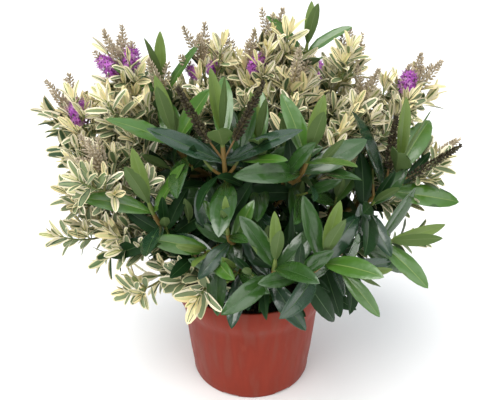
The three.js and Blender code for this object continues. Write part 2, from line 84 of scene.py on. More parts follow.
# ---- The plant's own sizes, shared with the solids, in millimetres and degrees ----

FOOT = {"flare_radius": 17, "top": 173, "lean": 2}
SOIL_TOP = 127
RINGS = [133.5, 142.5, 151.5, 159.5]
BOUGH = {"base_radius": 4, "tip_radius": 3.3, "outward": 0.72, "least": 28, "upward": 0.16}
FORK = {"offset": 2.4, "sunk": 1.2, "to_tip": 0.6, "aside": 0.35, "handle": 0.3}
# Leaf size on side shoots, more pairs than any shoot has, how far back a leaf still faces the front,
# where the masses of the back start, and the turn from one side shoot or floret to the next.
SIDE_SIZE = 0.92
PLENTY = 40
FRONT_DEPTH = 60
BACK_DEPTH = 50
GOLDEN_TURN = 137.5

V = "variegated"
G = "green"

# The ways of each kind of shoot. The lists named pair and spike_gap go by the pairs of leaves from the
# tip down, and those named twig by the rank of the shoot that bears the twigs: the last value holds for
# all that follow. A radius is at the foot and at the tip. Other bracketed numbers are from and to.
KINDS = {
    V: {
        "pair_gap": [1.6, 4.2, 5.4, 6.2, 7.0, 7.6, 8.2],
        "pair_size": [0.56, 0.84, 1.0, 1.04, 1.0, 0.96, 0.92],
        "pair_spread": [9, 26, 40, 50, 57, 63, 68, 72, 75],
        "dressed": 0.66,
        "dressed_most": 100,
        "sides": 1,
        "side_from": 0.66,
        "side_step": 0.2,
        "side_length": 66,
        "side_open": 44,
        "twig_first": 32,
        "twig_least": 0.2,
        "twig_lengths": [(32, 64), (20, 34)],
        "twig_chance": [0.8, 0.45],
        "twig_pairs": PLENTY,
        "inner_lengths": (40, 62),
        "inner_pairs": 6,
        "straight": 0.4,
        "beyond": 11,
        "young_from": 0.72,
        "stem_radius": (1.9, 1.15),
        "twig_radius": (1.35, 0.75),
        "spike_stalk": 12,
        "spike_length": 36,
        "spike_radius": 8.2,
        "spike_open": 22,
        "spike_rise": 0.5,
        "spike_gap": [2, 8, 12, 15],
        "spike_pair": 1,
        "facing": 0.15,
        "loose": 1.0,
        "droop": 0.1,
        "fold": (10, 34),
        "wave": 0.09,
    },
    G: {
        "pair_gap": [3, 12, 20, 25, 27],
        "pair_size": [0.78, 0.95, 1.05, 1.0, 0.95, 0.9],
        "pair_spread": [14, 46, 61, 75, 84],
        "dressed": 0.8,
        "dressed_most": 170,
        "sides": 0,
        "side_from": 0.5,
        "side_step": 0.2,
        "side_length": 70,
        "side_open": 48,
        "twig_first": 56,
        "twig_gap": 27,
        "twig_least": 0.14,
        "twig_lengths": [(36, 70), (36, 70)],
        "twig_chance": [0.6, 0.6],
        "twig_pairs": 4,
        "inner_lengths": (46, 74),
        "inner_pairs": 4,
        "straight": 0.5,
        "beyond": 0,
        "young_from": 0.88,
        "stem_radius": (3.2, 2.3),
        "twig_radius": (1.9, 1.3),
        "spike_stalk": 26,
        "spike_length": 62,
        "spike_radius": 6.9,
        "spike_open": 36,
        "spike_rise": 0.3,
        "spike_gap": [3, 12, 20, 25],
        "spike_pair": 2,
        "facing": 0.42,
        "loose": 0.4,
        "droop": 0.42,
        "fold": (6, 22),
        "wave": 0.1,
    },
}
BLOOM = {
    "pair": 2,
    "stalk": 16,
    "length": 25,
    "radius": 12.5,
    "reach": 46,
    "florets": 130,
    "open": 42,
    "rise": 0.5,
    "front": 0.4,
}
SPIKE_ROOM = {"from": 18, "reach": 50, "radius": 4}

# What a mass has unless its row says otherwise. shift moves its tip, ends are the tips of further
# shoots, turns are added to its first pairs of leaves, and lowest is as far down as its leaves hang.
ORDINARY = {
    "size": 1,
    "shift": (0, 0, 0),
    "ends": (),
    "end_size": SIDE_SIZE,
    "twigs": True,
    "first": False,
    "most_pairs": PLENTY,
    "turns": (),
    "lowest": 0,
    "pale": 0,
    "spikes": 0,
    "blooms": 0,
    "bloom_drop": 0,
    "bloom_size": 1.0,
    "bloom_front": BLOOM["front"],
}


def row(name, kind, tip, lean, roll, **more):
    """One mass of foliage: where its leading shoot ends, that shoot's lean, its turn and its own ways."""
    ways = {**ORDINARY, **{key: KINDS[kind][key] for key in ("sides", "beyond", "facing")}, **more}
    return {"name": name, "kind": kind, "tip": np.array(tip, float), "lean": lean, "roll": roll, **ways}


# Each bough: its name, the ring of the foot stem that it leaves, its share of the way, its masses.
BOUGHS = [
    ("upper_left", 2, 0.52, [
        row("variegated_upper_left_top", V, (-146, 20, 398), 8, 90, spikes=2, blooms=2,
            ends=[(-163, 18, 422)]),
        row("variegated_upper_left", V, (-155, -10, 362), 28, 60),
    ]),
    ("left", 1, 0.52, [
        row("variegated_left_top", V, (-203, 0, 350), 14, 90, spikes=2, blooms=1, bloom_drop=4,
            bloom_front=1.0, bloom_size=1.12, ends=[(-228, 2, 352)], end_size=1.1),
        row("variegated_left_front", V, (-157, -70, 307), 30, 30, spikes=2, ends=[(-213, -12, 314)]),
    ]),
    ("lower_left", 0, 0.5, [
        row("variegated_left_middle", V, (-200, 0, 250), 48, 45),
        row("variegated_left_low", V, (-204, -12, 206), 68, 20, shift=(3, 0, 6)),
        row("variegated_left_inner", V, (-148, -58, 220), 48, 70, sides=0, ends=[(-176, -50, 186)]),
    ]),
    ("front_left", 0, 0.5, [
        row("green_front_left", G, (-108, -90, 282), 16, 90, lowest=186),
        row("variegated_rim_left", V, (-132, -66, 164), 80, 30, beyond=-4, shift=(5, 0, 9), first=True,
            ends=[(-98, -58, 168), (-114, -60, 158)]),
        row("variegated_rim_front", V, (-58, -120, 182), 78, 0, size=1.2, sides=0, beyond=2,
            first=True, pale=-0.3),
    ]),
    ("centre_left", 3, 0.5, [
        row("green_centre_left", G, (-83, -60, 350), 10, 90),
        row("variegated_centre_left", V, (-102, 10, 368), 12, 0, spikes=1, sides=0),
        row("green_top_left", G, (-88, 14, 402), 4, 100, size=0.95, most_pairs=3, twigs=False,
            shift=(-14, 0, -20), turns=(-20,)),
    ]),
    ("centre_front", 2, 0.5, [
        row("green_centre", G, (-29, -95, 362), 5, 0, size=1.06, spikes=2),
        row("green_centre_young", G, (-24, -130, 272), 14, 40, size=0.62),
        row("green_centre_low", G, (-48, -116, 236), 62, 20, size=0.9),
    ]),
    ("centre", 4, 0.45, [
        row("variegated_top", V, (-57, 32, 400), 8, 90, spikes=2, blooms=2, bloom_drop=10, bloom_size=0.66),
        row("variegated_top_middle", V, (-6, 24, 394), 4, 80, spikes=1, blooms=1),
        row("variegated_back_top", V, (-30, 118, 378), 12, 10, spikes=1),
    ]),
    ("centre_right", 3, 0.5, [
        row("green_centre_back", G, (8, -66, 343), 4, 180, size=0.9),
        row("green_centre_right", G, (59, -95, 342), 14, 35),
        row("variegated_centre_right", V, (46, -14, 385), 6, 0, spikes=1, sides=0),
    ]),
    ("top_right", 3, 0.52, [
        row("variegated_top_right", V, (32, 30, 414), 4, 70, spikes=2, beyond=28, shift=(-8, 0, 0),
            ends=[(62, 4, 410)]),
        row("green_top_right", G, (66, 22, 422), 8, 100, size=0.82, most_pairs=3, twigs=False,
            shift=(-3, 0, 4)),
        row("variegated_right_top", V, (108, 30, 402), 12, 10, spikes=2, shift=(2, 0, -8)),
    ]),
    ("upper_right", 2, 0.48, [
        row("variegated_upper_right", V, (190, 20, 366), 16, 80, spikes=2, blooms=1, sides=0, beyond=22,
            ends=[(174, 0, 368)]),
        row("variegated_right_middle", V, (124, 2, 360), 12, 60, spikes=2, sides=0),
        row("variegated_right_inner", V, (94, -34, 330), 24, 30, sides=0),
    ]),
    ("right", 1, 0.5, [
        row("green_right", G, (160, -42, 306), 8, 0, size=1.2, spikes=2, shift=(5, 0, 3), turns=(0, -28)),
        row("variegated_right", V, (210, 4, 280), 42, 20, spikes=1, shift=(2, 0, 9)),
    ]),
    ("front", 0, 0.5, [
        row("green_front", G, (24, -146, 246), 12, 45, size=0.88),
        row("green_front_right", G, (74, -142, 250), 14, 80, turns=(0, -30)),
        row("green_rim_front", G, (-20, -118, 210), 56, 45, size=0.78, shift=(3, 0, 4)),
    ]),
    ("lower_right", 0, 0.5, [
        row("green_right_middle", G, (158, -66, 240), 70, 20, size=1.02, shift=(2, 0, -17),
            turns=(0, 38), facing=1.0),
        row("variegated_right_low", V, (204, -12, 200), 62, 0, sides=0, beyond=0, pale=-0.7, twigs=False),
        row("green_right_low", G, (106, -110, 208), 72, 50, size=0.86, turns=(0, 30)),
    ]),
    ("back_left", 1, 0.5, [
        row("variegated_back_left_top", V, (-122, 98, 348), 18, 0, spikes=2),
        row("variegated_back_left", V, (-180, 92, 262), 44, 40, spikes=1),
        row("green_back_left", G, (-78, 166, 250), 48, 0),
    ]),
    ("back_right", 1, 0.5, [
        row("variegated_back_right_top", V, (100, 104, 362), 14, 90, spikes=1, blooms=2),
        row("variegated_back_right", V, (168, 108, 268), 42, 30, spikes=1),
        row("green_back_right", G, (50, 168, 292), 30, 0, spikes=1),
    ]),
]


# ---- What a user may change ----


def metres(name, description, default):
    """A length, in metres."""
    return FloatProperty(name=name, description=description, default=default, min=0.0, unit="LENGTH")


def colour(name, description, default):
    """A colour, as red, green and blue from 0 to 1."""
    return FloatVectorProperty(
        name=name, description=description, default=default, min=0.0, max=1.0, subtype="COLOR"
    )


class HebePotSizes(bpy.types.PropertyGroup):
    """Sizes of the nursery pot."""

    height: metres("Height", "Height of the pot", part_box("pot")[1].z)
    rim_radius: metres("Rim radius", "Outer radius of the upright band", 0.0956)
    band_height: metres("Band height", "Height of the upright band under the lip", 0.017)
    neck_radius: metres("Neck radius", "Outer radius where the flare starts", 0.0868)
    neck_height: metres("Neck height", "Height at which the flare starts", 0.099)
    base_radius: metres("Base radius", "Outer radius just above the foot", 0.0772)
    wall: metres("Wall", "Thickness of the wall", 0.0018)
    soil_top: metres("Soil top", "Height of the potting mix at its middle", 0.127)
    rounds: IntProperty(name="Facets", description="Steps round the pot", default=96, min=24)


class HebePlantSizes(bpy.types.PropertyGroup):
    """Sizes of leaves, spikes and blossom."""

    small_leaf_length: metres("Variegated leaf", "Length of a variegated leaf", 0.030)
    small_leaf_width: metres("Variegated leaf width", "Width of a variegated leaf", 0.0118)
    large_leaf_length: metres("Green leaf", "Length of a green leaf", 0.078)
    large_leaf_width: metres("Green leaf width", "Width of a green leaf", 0.0245)
    leaf_thickness: metres("Leaf thickness", "Thickness of a leaf at its midrib", 0.0008)
    twig_gap: metres("Twig gap", "Spacing of the fine twigs along a stem", 0.0135)
    capsule_length: metres("Capsule", "Length of a seed capsule", 0.0046)
    petal_length: metres("Petal", "Length of a petal", 0.0036)


class HebeColours(bpy.types.PropertyGroup):
    """Main colours of the plant and pot."""

    pot: colour("Pot", "Plastic of the pot", (0.235, 0.026, 0.0115))
    peat: colour("Potting mix", "Damp potting mix", (0.012, 0.008, 0.006))
    bark: colour("Bark", "Old bark", (0.13, 0.085, 0.045))
    blossom: colour("Blossom", "Florets in full colour", (0.42, 0.085, 0.47))
    floor: colour("Floor", "Studio floor", (0.92, 0.92, 0.92))


class HebeStage(bpy.types.PropertyGroup):
    """Camera and lights."""

    camera_height: metres("Camera height", "Height of the camera", 0.552)
    camera_distance: metres("Camera distance", "Distance in front of the pot's middle", 0.662)
    camera_pitch: FloatProperty(
        name="Camera pitch",
        description="Angle below the horizon",
        default=math.radians(25.1),
        subtype="ANGLE",
    )
    lens: FloatProperty(
        name="Lens", description="Focal length on a 36 mm sensor", default=43.4, unit="CAMERA"
    )
    floor_size: metres("Floor size", "Side of the studio floor", 14.0)
    sky: FloatProperty(name="Surround", description="Strength of the white surround", default=0.62)
    sun: FloatProperty(name="Key light", description="Strength of the large soft light", default=2.6)
    fill: FloatProperty(name="Fill light", description="Strength of the light from the right", default=0.8)
    sun_spread: FloatProperty(
        name="Key light spread",
        description="Apparent size of the soft light",
        default=math.radians(50),
        subtype="ANGLE",
    )


# ---- Directions and curves ----


def unit(vector):
    """The vector's direction, one long."""
    return vector / np.linalg.norm(vector)


def across_stem(direction):
    """Two directions square to a stem and to each other."""
    left = unit(np.cross(direction, BACK))
    return left, np.cross(direction, left)


def around_stem(direction, degrees):
    """The direction square to a stem, at an angle round it."""
    left, front = across_stem(direction)
    angle = math.radians(degrees)
    return left * math.cos(angle) + front * math.sin(angle)


def opened(direction, side, degrees):
    """Opens a side direction away from a stem by an angle."""
    angle = math.radians(degrees)
    return direction * math.cos(angle) + side * math.sin(angle)


def seeded(seed):
    """The solids' own repeatable run of numbers from 0 to 1."""
    state = (seed * 2654435761) & 0xFFFFFFFF

    def draw():
        nonlocal state
        state = (state * 1664525 + 1013904223) & 0xFFFFFFFF
        return state / 4294967296

    return draw


class Curve:
    """A Bezier curve that is measured along its length."""

    def __init__(self, *corners):
        self.corners = [np.array(corner, float) for corner in corners]
        self.steps = np.linspace(0, 1, 81)
        gaps = np.linalg.norm(np.diff(self.at(self.steps), axis=0), axis=1)
        self.run = np.concatenate([[0], np.cumsum(gaps)])
        self.length = float(self.run[-1])

    def at(self, steps):
        """The points at steps from 0 to 1, which aren't even in length."""
        steps = np.atleast_1d(np.asarray(steps, float))[:, None]
        points = [np.repeat(corner[None], len(steps), 0) for corner in self.corners]
        while len(points) > 1:
            points = [a + (b - a) * steps for a, b in zip(points, points[1:])]
        return points[0]

    def place(self, share):
        """The point and the direction at a share of the length."""
        step = float(np.interp(share * self.length, self.run, self.steps))
        near = self.at([max(step - 1e-3, 0), step, min(step + 1e-3, 1)])
        return near[1], unit(near[2] - near[0])


# ---- The growth rule, as in the solids ----


def bough_curve(ring, share, masses):
    """A bough leaves the foot stem outwards, and ends its share of the way to its masses' tips."""
    on_foot = ring < len(RINGS)
    start = np.array([0, 0, RINGS[ring]] if on_foot else [FOOT["lean"], 0, FOOT["top"] + 1], float)
    fork = start + share * (sum(mass["tip"] for mass in masses) / len(masses) - start)
    reach = fork - start
    across = np.array([reach[0], reach[1], 0])
    outward = max(np.linalg.norm(across) * BOUGH["outward"], BOUGH["least"] if on_foot else 0)
    control = start + unit(across) * outward
    control[2] += reach[2] * BOUGH["upward"]
    return Curve(start, control, fork)


def leading_stems(masses, curve):
    """The leading stem of each mass: they leave their bough's tip side by side.

    A stem's youngest growth reaches a little beyond the solid's tip.
    """
    fork, direction = curve.place(1)
    left, front = across_stem(direction)
    order = [math.atan2(m["tip"] @ front - fork @ front, m["tip"] @ left - fork @ left) for m in masses]
    count = len(masses)
    ranked = sorted(range(count), key=lambda i: order[i])
    turn = sum(order[i] - 2 * math.pi * place / count for place, i in enumerate(ranked)) / count
    stems = []
    for i, mass in enumerate(masses):
        angle = turn + 2 * math.pi * ranked.index(i) / count
        aside = left * math.cos(angle) + front * math.sin(angle)
        tip = mass["tip"] + np.array(mass["shift"])
        leave = unit(direction + FORK["to_tip"] * unit(tip - fork) + FORK["aside"] * aside)
        span = np.linalg.norm(tip - fork)
        end = opened(UP, unit(np.array([tip[0], tip[1], 0])), mass["lean"])
        start = fork + aside * FORK["offset"] - direction * FORK["sunk"]
        straight = KINDS[mass["kind"]]["straight"]
        handles = start + leave * span * FORK["handle"], tip - end * span * straight
        stems.append(Curve(start, *handles, tip + end * mass["beyond"]))
    return stems


RISE = 0.45


def rising_shoot(base, leaving, length):
    """A side shoot that bends up as it grows."""
    rising = unit(leaving + RISE * UP)
    return Curve(base, base + leaving * length * 0.5, base + rising * length)


def solid_side_shoots(mass, stem, seed):
    """The side shoots that the solids have too."""
    kind = KINDS[mass["kind"]]
    draw = seeded(seed)
    shoots = []
    for k in range(mass["sides"]):
        turn = mass["roll"] + 45 + GOLDEN_TURN * k + 60 * (draw() - 0.5)
        length = kind["side_length"] * (0.85 + 0.3 * draw())
        base, direction = stem.place(kind["side_from"] - kind["side_step"] * k)
        leaving = opened(direction, around_stem(direction, turn), kind["side_open"])
        shoots.append((rising_shoot(base, leaving, length), mass["roll"] + 45 * (k + 1), SIDE_SIZE))
    for end in mass["ends"]:
        base, direction = stem.place(0.55)
        end = np.array(end, float)
        handle = base + direction * np.linalg.norm(end - base) * 0.5
        shoots.append((Curve(base, handle, end), mass["roll"] + 45, mass["end_size"]))
    return shoots


class Space:
    """Which cells of space are taken, so that leaves and twigs keep clear of each other."""

    def __init__(self, cell):
        self.cell = cell
        self.taken = {}

    def keys(self, points):
        """The cells that the points lie in."""
        return {tuple(key) for key in np.floor(points / self.cell).astype(int).tolist()}

    def share_taken(self, points, owner):
        """The share of the points' cells that another owner has."""
        keys = self.keys(points)
        return sum(self.taken.get(key, owner) != owner for key in keys) / len(keys)

    def take(self, points, owner):
        """Gives the points' free cells to an owner."""
        for key in self.keys(points):
            self.taken.setdefault(key, owner)


# How far growth may reach past the box of the solids, and the room that it leaves round the rim.
PAST_SOLIDS = 9
LOW = np.array(CAD_BOX[0]) / MM - PAST_SOLIDS
HIGH = np.array(CAD_BOX[1]) / MM + PAST_SOLIDS
RIM = {"top": 143, "outside": 97.5, "inside": 82, "soil_gap": 3, "lowest": 118}


def inside_reach(points):
    """True if the points stay within the reach of the solids, over the soil and out of the pot."""
    if (points < LOW).any() or (points > HIGH).any():
        return False
    radius, height = np.hypot(points[:, 0], points[:, 1]), points[:, 2]
    low = height < RIM["top"]
    if (low & (radius < RIM["outside"]) & (radius > RIM["inside"])).any():
        return False
    if (low & (radius <= RIM["inside"]) & (height < SOIL_TOP + RIM["soil_gap"])).any():
        return False
    return not (height < RIM["lowest"]).any()


# ---- Growing, in cells of space that shoots and leaves keep to themselves ----

SHOOT_CELL = 3.0
LEAF_CELL = 4.0
# The share of a shoot's or a leaf's cells that others may have already.
OVERLAP = {"shoot": 0.15, "leaf": 0.09, "young_green": 0.6, "old_green": 0.3, "variegated": 0.5}
# The bare foot of the shortest shoots, and how narrow the youngest pair is.
LEAST_BARE = 4
YOUNGEST = 0.82
# Twigs get longer down a stem over this run, variegated side shoots longer than this bear twigs too,
# and no twig leaves its stem more steeply downwards.
TWIG_RUN = 60
BEARING_LENGTH = 44
STEEPEST_FALL = -0.3
# Where a leaf is tried for room: shares of its length, and of its width to either side.
LEAF_SHARES = {V: np.linspace(0.3, 0.95, 6), G: np.linspace(0.2, 0.97, 15)}
LEAF_SPANS = {V: (-0.3, 0.3), G: (-0.42, -0.21, 0.21, 0.42)}


def leaf_probe(leaf):
    """Points along a leaf's blade, beyond its root, on the midrib and near both edges."""
    side = np.cross(leaf["direction"], leaf["upper"])
    shares = LEAF_SHARES[leaf["kind"]][:, None]
    fall = leaf["droop"] * leaf["length"] * shares**2 / 2
    middle = leaf["base"] + leaf["direction"] * (leaf["length"] * shares) - leaf["upper"] * fall
    narrow = np.sin(np.pi * shares**0.85)
    edges = [middle + side * (leaf["width"] * span * narrow) for span in LEAF_SPANS[leaf["kind"]]]
    return np.concatenate([middle, *edges])


def towards_front(azimuth):
    """How far the youngest pair of a green shoot turns to face the front."""
    most = 55
    left = (90 - azimuth + 90) % 180 - 90
    return max(-most, min(most, left))


def faced(along, upper, place, share):
    """Turns a blade about its midrib, so that its upper side looks out of the bush."""
    out = -BACK if place[1] < FRONT_DEPTH else BACK
    out = out - along * (out @ along)
    return unit(upper + out * share)


def at_pair(values, pair):
    """The value for a pair, where the last value holds for all the pairs that follow."""
    return values[min(pair, len(values) - 1)]


def dress(shoot, plant):
    """Crossed pairs of leaves on one shoot, from its tip down."""
    kind, curve, size, dice = KINDS[shoot["kind"]], shoot["curve"], shoot["size"], shoot["dice"]
    small = shoot["kind"] == V
    full_length = (plant.small_leaf_length if small else plant.large_leaf_length) / MM
    full_width = (plant.small_leaf_width if small else plant.large_leaf_width) / MM
    bare = max(curve.length * (1 - kind["dressed"]), curve.length - kind["dressed_most"], LEAST_BARE)
    loose = 1.0 if shoot["rank"] else kind["loose"]
    handed_on = {key: shoot[key] for key in ("kind", "mass", "rank", "tone", "pale")}
    distance = 0.0
    leaves = []
    for i in range(PLENTY):
        stretch = 1 if small else math.sqrt(size)
        distance += at_pair(kind["pair_gap"], i) * stretch * dice.uniform(0.88, 1.12)
        if distance > curve.length - bare or i >= shoot["most_pairs"]:
            break
        point, direction = curve.place(1 - distance / curve.length)
        pair_size, pair_spread = at_pair(kind["pair_size"], i), at_pair(kind["pair_spread"], i)
        for half in (0, 180):
            azimuth = shoot["roll"] + 90 * i + half + dice.uniform(-9, 9) * loose
            azimuth += 0 if small or i else towards_front(shoot["roll"])
            azimuth += shoot["turns"][i] if not shoot["rank"] and i < len(shoot["turns"]) else 0
            spread = pair_spread + dice.uniform(-7, 7) * loose
            outward = around_stem(direction, azimuth)
            upper = -opened(direction, outward, spread + 90)
            along = opened(direction, outward, spread)
            leaves.append({
                **handed_on,
                "pair": i,
                "base": point + outward * 0.6,
                "direction": along,
                "upper": faced(along, upper, point, shoot["facing"]),
                "length": full_length * pair_size * size * (1 + 0.09 * loose * dice.uniform(-1, 1)),
                "width": full_width * pair_size * size * (1 if i else YOUNGEST) * dice.uniform(0.92, 1.08),
                "droop": kind["droop"] * min(1, i / 2) * dice.uniform(0.2, 1.7),
                "fold": math.radians(dice.uniform(*kind["fold"])),
                "sway": dice.uniform(-0.2, 0.2),
                "twist": dice.uniform(-0.35, 0.35),
                "wave": dice.uniform(0.0, kind["wave"]),
                "phase": dice.uniform(0, 6.28),
                "chance": dice.random(),
            })
    return leaves


def child(parent, curve, roll, size, rank, **more):
    """A lesser shoot with the ways of its parent, but with no spike or blossom of its own."""
    own = {"curve": curve, "roll": roll, "size": size, "rank": rank, "spikes": 0, "blooms": 0}
    return {**parent, **own, **more}


def fine_twigs(shoot, plant):
    """The finer side shoots of one shoot, in crossed pairs down its length."""
    kind, curve, dice = KINDS[shoot["kind"]], shoot["curve"], shoot["dice"]
    small = shoot["kind"] == V
    gap = plant.twig_gap / MM if small else kind["twig_gap"]
    shortest, longest = at_pair(kind["twig_lengths"], shoot["rank"])
    chance = at_pair(kind["twig_chance"], shoot["rank"])
    twigs = []
    distance, k = kind["twig_first"], 0
    while distance < curve.length * (1 - kind["twig_least"]):
        point, direction = curve.place(1 - distance / curve.length)
        share = min(1, (distance - kind["twig_first"]) / TWIG_RUN)
        for half in (0, 180):
            turn = shoot["roll"] + 90 * k + half + dice.uniform(-20, 20)
            open_by = kind["side_open"] + dice.uniform(-8, 12)
            length = shortest + (longest - shortest) * share * dice.uniform(0.75, 1.1)
            leaving = opened(direction, around_stem(direction, turn), open_by)
            if dice.random() > chance or leaving[2] < STEEPEST_FALL:
                continue
            twig = rising_shoot(point, leaving, length)
            size = shoot["size"] * (SIDE_SIZE if small else dice.uniform(0.62, 0.8))
            ways = {"tone": dice.random(), "most_pairs": kind["twig_pairs"]}
            twigs.append(child(shoot, twig, turn + 45, size, shoot["rank"] + 1, **ways))
        distance += gap * dice.uniform(0.9, 1.15)
        k += 1
    return twigs


def bough_shoots(curve, leader, dice):
    """Short leafy shoots on the outer part of a bough, of the kind that it bears."""
    kind = KINDS[leader["kind"]]
    shoots = []
    for k, share in enumerate(np.arange(0.5, 0.96, 0.15)):
        point, direction = curve.place(share)
        for half in (0, 180):
            turn = leader["roll"] + 90 * k + half + dice.uniform(-25, 25)
            leaving = unit(opened(direction, around_stem(direction, turn), 52) + 0.25 * UP)
            inner = rising_shoot(point, leaving, dice.uniform(*kind["inner_lengths"]))
            size = 0.9 if leader["kind"] == V else dice.uniform(0.68, 0.86)
            ways = {"tone": dice.random(), "most_pairs": kind["inner_pairs"]}
            shoots.append(child(leader, inner, turn + 45, size, 2, **ways))
    return shoots


def spike_places(shoot):
    """Flower spikes and blossom in the axils of a leading shoot, those of the solids first."""
    kind, curve, dice = KINDS[shoot["kind"]], shoot["curve"], shoot["dice"]
    small = shoot["kind"] == V
    distance = shoot["beyond"] * 0.8
    made = []

    def add(form, base, direction, size):
        made.append({
            "form": form,
            "base": base,
            "direction": direction,
            "size": size,
            "kind": shoot["kind"],
            "mass": shoot["mass"],
        })

    def add_spike(base, direction, outward, more_open, size):
        lifted = opened(direction, outward, kind["spike_open"] + more_open) + kind["spike_rise"] * UP
        add("spike", base, unit(lifted), size)

    for i, gap in enumerate(kind["spike_gap"]):
        distance += gap * math.sqrt(shoot["size"])
        point, direction = curve.place(1 - distance / curve.length)
        for side, half in enumerate((0, 184)):
            turn = shoot["roll"] + 90 * i + half
            outward = around_stem(direction, turn)
            base = point + direction * (3 - 0.6 * side)
            if 0 <= 2 * (i - kind["spike_pair"]) + side < shoot["spikes"]:
                add_spike(base, direction, outward, 0, 1.0)
                if small:
                    beside = around_stem(direction, turn + dice.uniform(60, 100))
                    add_spike(base, direction, beside, dice.uniform(0, 14), dice.uniform(0.65, 0.85))
            if 0 <= 2 * (i - BLOOM["pair"]) + side < shoot["blooms"]:
                first = around_stem(direction, turn - half + 90)
                outward = around_stem(direction, turn + (270 if first[:2] @ point[:2] > 0 else 90))
                lifted = opened(direction, outward, BLOOM["open"]) + BLOOM["rise"] * UP
                lifted = unit(lifted - shoot["bloom_front"] * BACK * (point[1] < FRONT_DEPTH))
                add("bloom", base - direction * shoot["bloom_drop"], lifted, shoot["bloom_size"])
    return made


def spike_room(spike):
    """Points that fill the room of a spike or of a cluster of blossom."""
    bloom = spike["form"] == "bloom"
    room = {**BLOOM, "from": BLOOM["stalk"]} if bloom else SPIKE_ROOM
    left, front = across_stem(spike["direction"])
    points = []
    for along in np.arange(room["from"], room["reach"], LEAF_CELL):
        centre = spike["base"] + spike["direction"] * along
        points.append(centre)
        for out in np.arange(LEAF_CELL, room["radius"] + 1, 3):
            for turn in np.linspace(0, 2 * np.pi, 10)[:-1]:
                points.append(centre + out * (left * math.cos(turn) + front * math.sin(turn)))
    return np.array(points)


def grow_family(mass, stem, seed, plant):
    """A mass's leading shoot, and then its side shoots and all their twigs."""
    dice = random.Random(seed)
    leader = {**mass, "curve": stem, "mass": mass["name"], "rank": 0, "tone": dice.random(), "dice": dice}
    family = [leader]
    for side, roll, size in solid_side_shoots(mass, stem, seed):
        family.append(child(leader, side, roll, leader["size"] * size, 1))
    if mass["twigs"]:
        for shoot in list(family):
            family += fine_twigs(shoot, plant)
        if mass["kind"] == V:
            for shoot in [s for s in family if s["rank"] == 1 and s["curve"].length > BEARING_LENGTH]:
                family += fine_twigs(shoot, plant)
    return family


def shoots_with_room(shoots, room):
    """The leading shoots, and those of the others that stay in reach and apart."""
    kept = []
    for shoot in shoots:
        line = shoot["curve"].at(np.linspace(0.2, 1, 20))
        if shoot["rank"]:
            if not inside_reach(line) or room.share_taken(line, shoot["mass"]) > OVERLAP["shoot"]:
                continue
            room.take(line, shoot["mass"])
        kept.append(shoot)
    return kept


def leaves_with_room(shoots, spikes, plant):
    """The leaves that stay in reach and mostly clear of each other and of the spikes."""
    leaves = []
    blades = {G: Space(LEAF_CELL), V: Space(LEAF_CELL)}
    for spike in spikes:
        for space in blades.values():
            space.take(spike_room(spike), "spike")
    for shoot in sorted(shoots, key=lambda s: (s["rank"] or not s["first"], s["kind"] == V, s["rank"])):
        kind = shoot["kind"]
        foremost = shoot["first"] and not shoot["rank"]
        for leaf in dress(shoot, plant):
            probe = leaf_probe(leaf)
            if not inside_reach(probe) or probe[:, 2].min() < shoot["lowest"]:
                continue
            owner = len(leaves)
            limit = OVERLAP["leaf"]
            if kind == G and not shoot["rank"]:
                limit = OVERLAP["young_green"] if leaf["pair"] < 2 else OVERLAP["old_green"]
            if not foremost and blades[G].share_taken(probe, owner) > limit:
                continue
            if kind == V and not foremost and blades[V].share_taken(probe, owner) > OVERLAP["variegated"]:
                continue
            blades[G if foremost else kind].take(probe, owner)
            leaves.append(leaf)
    return leaves


def grow_shrub(plant):
    """Boughs, stems, leaves and spikes of the whole shrub."""
    boughs, shoots, spikes = [], [], []
    room = Space(SHOOT_CELL)
    seed = 0
    for name, ring, share, masses in BOUGHS:
        curve = bough_curve(ring, share, masses)
        boughs.append((name, curve))
        room.take(curve.at(np.linspace(0, 1, 90)), "bough")
        leaders = []
        for mass, stem in zip(masses, leading_stems(masses, curve)):
            seed += 1
            room.take(stem.at(np.linspace(0.05, 1, 90)), mass["name"])
            family = grow_family(mass, stem, seed, plant)
            shoots += family
            leaders.append(family[0])
            spikes += spike_places(family[0])
        # the last mass's dice are thrown for its own kind, and again if the bough bears a green mass
        green = [leader for leader in leaders if leader["kind"] == G]
        for bearer in leaders[-1:] + green[:1]:
            inner = bough_shoots(curve, bearer, leaders[-1]["dice"])
        shoots += inner
    shoots = shoots_with_room(shoots, room)
    leaves = leaves_with_room(shoots, spikes, plant)
    return {"boughs": boughs, "shoots": shoots, "leaves": leaves, "spikes": spikes}


_grown = {}


def grown(context):
    """The whole growth, worked out once for all the operators."""
    if not _grown:
        _grown.update(grow_shrub(context.scene.hebe_plant))
    return _grown


# ---- Finishes ----


def pattern_on(material, scale, detail, stretch=None):
    """Noise that is fixed to the piece's own space: the socket of its values."""
    nodes, links = material.node_tree.nodes, material.node_tree.links
    places = nodes.new("ShaderNodeTexCoord").outputs["Object"]
    if stretch:
        mapping = nodes.new("ShaderNodeMapping")
        mapping.inputs["Scale"].default_value = stretch
        links.new(places, mapping.inputs["Vector"])
        places = mapping.outputs["Vector"]
    noise = nodes.new("ShaderNodeTexNoise")
    noise.inputs["Scale"].default_value = scale
    noise.inputs["Detail"].default_value = detail
    links.new(places, noise.inputs["Vector"])
    return noise.outputs["Fac"]


def toned(material, pattern, stops):
    """A ramp of (place, grey value or colour) over a pattern: the socket of its colours."""
    ramp = material.node_tree.nodes.new("ShaderNodeValToRGB")
    points = ramp.color_ramp.elements
    while len(points) < len(stops):
        points.new(0.5)
    for point, (place, value) in zip(points, stops):
        point.position = place
        point.color = (*value, 1) if hasattr(value, "__len__") else (value, value, value, 1)
    material.node_tree.links.new(pattern, ramp.inputs["Fac"])
    return ramp.outputs["Color"]


